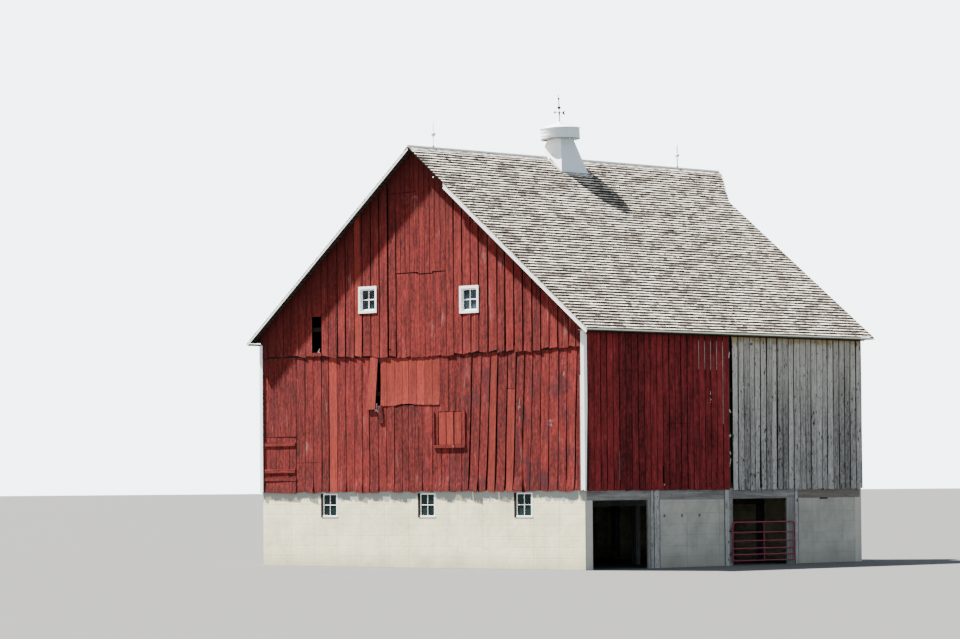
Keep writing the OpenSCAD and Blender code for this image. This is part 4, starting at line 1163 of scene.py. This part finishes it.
# Thickness of a shingle at its butt and its tip, and how far its butt is lifted
BUTT_T, TIP_T, BUTT_LIFT = 0.021, 0.003, 0.008
SHINGLE_WIDTHS = (0.5, 0.75, 1.0, 1.3, 1.8)
DECK_PITCH, DECK_W = 0.165, 0.140


def shingle_cells(sizes, rng, y_start, y_end, s_start, s_end, keep):
    """Shingles in courses up from s_end, as (first y, last y, place of the butt)."""
    rows, cells, s = [], [], s_end
    while s > s_start:
        rows.append(s)
        s -= sizes.exposure
    for butt in rows:
        y = y_start + rng.uniform(-sizes.shingle_w, 0)
        stop = y_end(butt)
        while y < stop:
            width = sizes.shingle_w * rng.choice(SHINGLE_WIDTHS) * rng.uniform(0.85, 1.15)
            a, b = max(y, y_start), min(y + width - 0.004, stop)
            y += width
            if b - a > 0.012 and (keep is None or keep((a + b) / 2, butt)):
                cells.append((a, b, butt))
    return cells


def shingle_field(name, side, sizes, rng, y_start, y_end, s_start, s_end, finish, replaces, keep=None):
    """Courses of tapered shingles on one slope. y_end is a function of the distance down the slope."""
    reach = sizes.exposure * 1.5
    cells = shingle_cells(sizes, rng, y_start, y_end, s_start, s_end, keep)
    bm = bmesh.new()
    number, corner = (bm.verts.layers.int.new(layer) for layer in ("number", "corner"))
    grain = bm.verts.layers.float_vector.new("grain")
    lies_open = bm.verts.layers.float.new("open")
    tone, edge = (bm.faces.layers.float.new(layer) for layer in ("tone", "edge"))
    bmesh.ops.create_grid(bm, x_segments=len(cells), y_segments=1, size=0.5)
    bmesh.ops.split_edges(bm, edges=bm.edges[:])
    for k, face in enumerate(sorted(bm.faces, key=lambda f: f.calc_center_median().x)):
        middle = face.calc_center_median()
        for vert in face.verts:
            vert[number] = k
            vert[corner] = (1 if vert.co.x > middle.x else 0) + (2 if vert.co.y > middle.y else 0)
            vert.co.z = 0
    bmesh.ops.solidify(bm, geom=bm.faces[:], thickness=0.01)
    bm.normal_update()
    for face in bm.faces:
        face[edge] = 0.0 if abs(face.normal.z) > 0.5 else 1.0
    # Each shingle's slip down the slope, lift, tilt, tone and place in the grain
    traits = [(rng.uniform(-0.008, 0.008), rng.uniform(-0.002, 0.003), rng.uniform(-0.002, 0.002),
               min(1, max(0, rng.gauss(0.62, 0.22))), rng.uniform(0, 50)) for _ in cells]
    for vert in bm.verts:
        a, b, butt = cells[vert[number]]
        slip, lift, tilt, _, shift = traits[vert[number]]
        on_end, upper = vert[corner] & 1, vert[corner] & 2
        top_face = abs(vert.co.z) < CLOSE
        if upper:
            s = max(butt - reach, s_start * 0.2)
            h = DECK_T + (TIP_T if top_face else 0)
        else:
            s = min(butt + slip, s_end + 0.001)
            h = DECK_T + (BUTT_LIFT + lift) + (BUTT_T if top_face else 0)
        h += tilt if on_end else 0
        y = b if on_end else a
        vert.co = on_roof(side, s, y, h)
        vert[grain] = (y + shift, h, s + shift)
        vert[lies_open] = 1 - reach / sizes.exposure if upper else 1.0
    for face in bm.faces:
        face[tone] = traits[face.verts[0][number]][3]
    if side < 0:
        bmesh.ops.reverse_faces(bm, faces=bm.faces[:])
    make_piece(name, bm, finish, "shingles", *replaces)


class BARN_OT_roof(bpy.types.Operator):
    """Shingle courses, the deck boards under them and the hay hood"""

    bl_idname = "barn.roof"
    bl_label = "Roof"

    def execute(self, context):
        sizes, colours = context.scene.barn_sizes, context.scene.barn_colours
        rng = draws(context, 4)
        finish = split_shingles("weathered_shingles", colours.shingle_light, colours.shingle_dark_and_shade)
        top, end, seam = 0.02, (EAVE_X - 0.0405) / COS, ROOF_Y1 + 0.012
        duct_half = high("vent_duct", 0)
        duct_y = (low("vent_duct", 1) + high("vent_duct", 1)) / 2

        def clear(y, s):
            return abs(y - duct_y) >= duct_half * 0.86 or s * COS >= duct_half + 0.02

        def hood_end(s):
            return ROOF_Y1 + max(0.0, HOOD_REACH * (1 - s * COS / HOOD_HALF)) - 0.03

        for side, word in ((1, "right"), (-1, "left")):
            shingle_field(f"shingles_{word}", side, sizes, rng, ROOF_Y0 - 0.022, lambda s: seam, top, end,
                          finish, [f"roof_{word}"], clear)
            shingle_field(f"hood_shingles_{word}", side, sizes, rng, seam, hood_end, top,
                          HOOD_HALF / COS - 0.05, finish, ["hay_hood"] if side > 0 else [])
        self.deck(context, rng)
        return {"FINISHED"}

    def deck(self, context, rng):
        """Spaced boards that carry the shingles, and solid ones under the hood."""
        unit = unit_bar(0)
        wood = old_timber("deck_timber", context.scene.barn_colours.timber, 1)
        for side, word in ((1, "right"), (-1, "left")):
            heap = Heap()
            for k in range(int((EAVE_X - 0.03) / COS / DECK_PITCH)):
                s = 0.012 + DECK_W / 2 + k * DECK_PITCH
                out = s * COS
                y1 = ROOF_Y1 if out > HOOD_HALF else ROOF_Y1 + HOOD_REACH * (1 - out / HOOD_HALF) - 0.06
                shift = rng.uniform(0, 30)

                def rule(point, s=s, y1=y1, shift=shift):
                    down = s + point.x * DECK_W / 2
                    h = 0.001 if point.y < 0 else DECK_T - 0.002
                    y = ROOF_Y0 + (y1 - ROOF_Y0) * (point.z + 1) / 2
                    return on_roof(side, down, y, h), Vector((down, h, y + shift))

                heap.add(unit, rule, rng.random())
            bmesh.ops.recalc_face_normals(heap.bm, faces=heap.bm.faces[:])
            heap.piece(f"deck_boards_{word}", wood, "timber")


# Trim and openings


class BARN_OT_trim(bpy.types.Operator):
    """Paint of the trim, the bars of the upper windows, and the sashes and panes of the cellar windows"""

    bl_idname = "barn.trim"
    bl_label = "Trim and windows"

    def execute(self, context):
        colours = context.scene.barn_colours
        white = white_paint("white_trim_paint", colours.white)
        glass = window_pane("window_glass_finish", (0.004, 0.008, 0.010), (0.070, 0.105, 0.130), 0.85, 0.22)
        cellar_glass = window_pane("cellar_glass_finish", (0.003, 0.012, 0.011), (0.014, 0.030, 0.027),
                                   1.0, 0.10)
        dress(white, "window_frames", "cellar_frames")
        dress(white_paint("eave_paint", colours.fascia, foot=EAVE_LOW + 0.018), "eave_boards")
        dress(white_paint("rake_board_paint", colours.white, capped=True), "rake_boards")
        dress(white_paint("corner_board_paint", colours.white, corner=colours.red), "corner_boards")
        dress(glass, "window_glass", "cellar_glass")
        unit = unit_bar(0)
        bars = Heap()
        y = low("window_glass", 1) - 0.012
        for x, z in WINDOWS:
            bars.bar(unit, (0.024, 0.024, 0.60), (x, y, z))
            bars.bar(unit, (0.024, 0.024, 0.58), (x, y, z), QUARTER)
        bars.piece("window_bars", white, "white_trim")
        self.cellar(unit, white_paint("sash_paint", colours.white, worn=0.1), cellar_glass,
                    shade_timber(context, "cellar_shade_strip_timber", 2))
        return {"FINISHED"}

    def cellar(self, unit, white, glass, dark):
        """Sashes filling the mouth of each cellar opening, and a dark strip of painted shade at its left."""
        lowest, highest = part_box("cellar_frames")
        tall, mid_z = highest.z - lowest.z, (highest.z + lowest.z) / 2
        wall_y = low("foundation_front", 1)
        face = wall_y + 0.020
        half, stile, bar = 0.309, 0.034, 0.016
        wide, pane_h = 2 * half, tall - 2 * stile
        sash, panes, shade_strips = Heap(), Heap(), Heap()
        for x in CELLAR_X:
            for u, width in ((x - half + 0.011, 0.022), (x + half - 0.029, 0.058)):
                sash.bar(unit, (width, 0.046, tall - 0.002), (u, face, mid_z))
            for v in (lowest.z + stile / 2, highest.z - stile / 2):
                sash.bar(unit, (stile, 0.044, wide - 2 * stile), (x, face, v), QUARTER)
            sash.bar(unit, (bar, 0.036, pane_h), (x - 0.018, face, mid_z))
            sash.bar(unit, (bar, 0.034, wide - 2 * stile), (x, face, mid_z + 0.01), QUARTER)
            sash.bar(unit, (0.050, 0.060, wide + 0.01), (x, face, lowest.z + 0.026), QUARTER)
            panes.bar(unit, (wide - 0.060, 0.006, pane_h), (x - 0.010, face + 0.002, mid_z), chamfer=0.001)
            # A dark strip left of each sash: painted shade in the opening
            shade_strips.bar(unit, (0.100, 0.012, tall - 0.002), (x - 0.361, wall_y - 0.004, mid_z))
        sash.piece("cellar_sashes", white, "white_trim")
        panes.piece("cellar_panes", glass, "glass")
        shade_strips.piece("cellar_shade_strips", dark, "timber")


def dress(finish, *nodes):
    """Gives CAD nodes a finish."""
    for node in nodes:
        mesh = frame["nodes"][node].data
        mesh.materials.clear()
        mesh.materials.append(finish)


class BARN_OT_frame(bpy.types.Operator):
    """Finishes of the concrete, the timber frame and the basement side"""

    bl_idname = "barn.frame"
    bl_label = "Concrete and timber"

    def execute(self, context):
        colours = context.scene.barn_colours
        dress(poured_concrete("foundation_concrete", colours.concrete, 1.0, painted_shade=0.92),
              "foundation_front", "foundation_left", "foundation_back")
        dress(poured_concrete("panel_concrete", colours.panel, 1.4), "concrete_panels")
        grey = tinted(colours.grey_wood, 0.74)
        dress(old_timber("beam_timber", grey, 1, brown_from=MID_Y + BAY), "floor_beams")
        # The girts are darkened nearly to black: painted shade where they show through the boards
        dress(old_timber("girts_timber", tinted(colours.timber, 0.35), 1), "girts")
        for name, colour, along, nodes in (
                ("basement_timber", grey, 2, ("basement_posts", "door_jambs")),
                ("cross_timber", colours.timber, 0, ("floor_joists", "tie_beams", "knee_braces",
                                                     "rafters_left", "rafters_right")),
                ("long_timber", colours.timber, 1, ("floor_deck", "roof_plates")),
                ("post_timber", colours.timber, 2, ("frame_posts",))):
            dress(old_timber(name, colour, along), *nodes)
        dress(board_finishes(context).loose, "loose_board")
        return {"FINISHED"}


class BARN_OT_loose_wood(bpy.types.Operator):
    """Strips over the basement posts, torn scraps in the gaps, and the low strip of the rake"""

    bl_idname = "barn.loose_wood"
    bl_label = "Strips and scraps"

    def execute(self, context):
        paints = board_finishes(context)
        dark = shade_timber(context, "shade_strip_timber", 2)
        unit = unit_bar(3)
        strips, scraps, slot, gap = Heap(), Heap(), Heap(), Heap()
        tall = FOOT - 0.02
        for y0, y1, thick, tone in POST_STRIPS:
            strips.bar(unit, (y1 - y0, thick, tall), RIGHT.at((y0 + y1) / 2, 0.04 - thick / 2, tall / 2),
                       RIGHT.turn, (y0, 0, 0), tone)
        strips.piece("post_strips", paints.grey, "grey_boards")
        for wall, u, v, depth, width, size, tilt in SCRAPS:
            turn = wall.turn @ Matrix.Rotation(math.radians(tilt), 3, "Y")
            scraps.bar(unit, (width, 0.008, size), wall.at(u, depth, v), turn, (u, v, 0), 1.0)
        scraps.piece("torn_scraps", paints.grey, "grey_boards")
        # A near-black bar in the panel's slot: painted shade
        slot.bar(unit, (0.37, 0.01, 0.04), RIGHT.at(3.725, 0.05, 1.905), RIGHT.turn)
        slot.piece("panel_slot_shade", dark, "timber")
        size = high("eave_boards", 1) - FRONT_Y - 0.02
        middle = (high("eave_boards", 1) + FRONT_Y) / 2
        # A near-black strip at the wall's top under the eave: painted shade
        gap.bar(unit, (0.010, 0.030, size), (HALF_W + 0.006, middle, EAVE_LOW - 0.017), LIE_ALONG_Y)
        gap.piece("eave_shade_strip", dark, "timber")
        self.rake(unit, dark, white_paint("rake_paint", context.scene.barn_colours.white))
        return {"FINISHED"}

    def rake(self, unit, dark, white):
        """The strip below the front rake with painted shade behind it, and a knob near the ridge."""
        rake, behind = Heap(), Heap()
        out, ridge = Vector((SIN, 0, COS)), Vector((0, 1, 0))
        turn = Matrix((out, ridge, out.cross(ridge))).transposed()
        for x0, x1, deep in ((1.44, 6.978, 0.066), (1.025, 1.050, 0.024)):
            middle, size = (x0 + x1) / 2, (x1 - x0) / COS
            place = Vector((middle, low("rake_boards", 1) + 0.012, under_roof(middle) - 0.082))
            rake.bar(unit, (deep, 0.020, size), place, turn)
            if deep > 0.05:
                # A near-black strip behind the low strip: painted shade under the rake
                behind.bar(unit, (0.050, 0.020, size), place + Vector((0, 0.030, -0.050)), turn)
        behind.piece("rake_shade_strip", dark, "timber")
        rake.piece("rake_low_strip", white, "white_trim")


class BARN_OT_metal(bpy.types.Operator):
    """Ventilator, vane, lightning rods, ridge and gate"""

    bl_idname = "barn.metal"
    bl_label = "Metalwork"

    def execute(self, context):
        colours = context.scene.barn_colours
        ridge = pale_metal("ridge_sheet", colours.metal, tinted((0.97, 0.96, 0.92), 0.86), rust=0.4,
                           foot=high("ridge_cap", 2) - 0.060)
        iron = dark_iron("dark_iron")
        pale, dull_and_shade = colours.metal, colours.shade_side_metal
        dress(pale_metal("pale_sheet", pale, dull_and_shade), "vent_duct", "vent_neck", "vent_cap")
        dress(pale_metal("drum_sheet", pale, dull_and_shade, rim=low("vent_drum", 2) + 0.055), "vent_drum")
        dress(ridge, "ridge_cap")
        dress(iron, "vane_rod", "wind_vane", "lightning_rods", "gate_pintles")
        dress(milk_glass("milk_glass"), "rod_balls")
        dress(enamel("gate_enamel", colours.gate_red), "gate")
        self.flashing(ridge)
        self.hole_rings(iron)
        self.rod_sleeves(iron)
        return {"FINISHED"}

    def rod_sleeves(self, finish):
        """Thick dark sleeves on the vane's rod and on the far lightning rod."""
        bm = bmesh.new()
        joint = next(j for j in frame["record"]["behaviour"]["joints"] if j["name"] == "vane_spin")
        hub, lean, up = Vector(joint["pos_m"]), Vector(joint["axis"]), Vector((0, 0, 1))
        lowest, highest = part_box("lightning_rods")
        rod, tall = Vector((0, highest.y - 0.030, lowest.z)), highest.z - lowest.z
        for base, axis, start, end in ((hub, lean, -0.240, -0.070), (hub, lean, 0.150, 0.400),
                                       (rod, up, 0.030, tall / 2 - 0.10),
                                       (rod, up, tall / 2 + 0.08, tall - 0.07)):
            place = Matrix.Translation(base + axis * (start + end) / 2)
            place = place @ up.rotation_difference(axis).to_matrix().to_4x4()
            bmesh.ops.create_cone(bm, cap_ends=True, segments=12, radius1=0.015, radius2=0.015,
                                  depth=end - start, matrix=place)
        make_piece("rod_sleeves", bm, finish, "dark_iron")

    def flashing(self, finish):
        """Strips of sheet on the shingles round the ventilator's foot."""
        unit = unit_bar(0)
        lowest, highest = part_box("vent_duct")
        heap = Heap()
        width, thick, above = 0.13, 0.004, DECK_T + 0.036
        foot, middle = highest.x / COS, (lowest.y + highest.y) / 2
        for side in (1, -1):
            heap.bar(unit, (width, thick, highest.y - lowest.y + 0.16),
                     on_roof(side, foot + width / 2 - 0.02, middle, above), roof_turn(side, True),
                     chamfer=0.001)
            for y in (lowest.y - 0.02, highest.y + 0.02):
                heap.bar(unit, (width, thick, foot), on_roof(side, foot / 2 + 0.05, y, above),
                         roof_turn(side, False), chamfer=0.001)
        heap.piece("vent_flashing", finish, "galvanised")

    def hole_rings(self, finish):
        """Dark rings round the vent holes of the first concrete panel."""
        bm = bmesh.new()
        face = high("concrete_panels", 0)
        for share in VENT_HOLES:
            ring = bmesh.ops.create_circle(bm, segments=24, radius=0.043, cap_ends=True)["verts"]
            faces = list({f for v in ring for f in v.link_faces})
            inner = bmesh.ops.inset_individual(bm, faces=faces, thickness=0.016)
            bmesh.ops.delete(bm, geom=faces, context="FACES_ONLY")
            place = Matrix.Translation((face + 0.001, MID_Y - share * BAY, FOOT - 0.735))
            verts = list({v for f in inner["faces"] for v in f.verts} | set(ring))
            bmesh.ops.transform(bm, matrix=place @ QUARTER.to_4x4(), verts=verts)
        bmesh.ops.solidify(bm, geom=bm.faces[:], thickness=0.006)
        bmesh.ops.recalc_face_normals(bm, faces=bm.faces[:])
        make_piece("vent_hole_rings", bm, finish, "dark_iron")


class BARN_PT_panel(bpy.types.Panel):
    """Lists the barn's sizes, colours and pieces"""

    bl_idname = "BARN_PT_panel"
    bl_label = "Timber barn"
    bl_space_type = "VIEW_3D"
    bl_region_type = "UI"
    bl_category = "Barn"

    def draw(self, context):
        for group in (context.scene.barn_sizes, context.scene.barn_colours):
            column = self.layout.column(align=True)
            for name in group.__annotations__:
                column.prop(group, name)
        for step in STEPS:
            self.layout.operator(step.bl_idname)


STEPS = (BARN_OT_stage, BARN_OT_front_boards, BARN_OT_side_boards, BARN_OT_far_boards, BARN_OT_roof,
         BARN_OT_trim, BARN_OT_frame, BARN_OT_loose_wood, BARN_OT_metal)
CLASSES = (BarnSizes, BarnColours, *STEPS, BARN_PT_panel)


def register():
    for cls in CLASSES:
        bpy.utils.register_class(cls)
    bpy.types.Scene.barn_sizes = PointerProperty(type=BarnSizes)
    bpy.types.Scene.barn_colours = PointerProperty(type=BarnColours)


def unregister():
    del bpy.types.Scene.barn_colours
    del bpy.types.Scene.barn_sizes
    for cls in reversed(CLASSES):
        bpy.utils.unregister_class(cls)


def main():
    register()
    for step in STEPS:
        group, name = step.bl_idname.split(".")
        getattr(getattr(bpy.ops, group), name)()


if __name__ == "__main__":
    main()
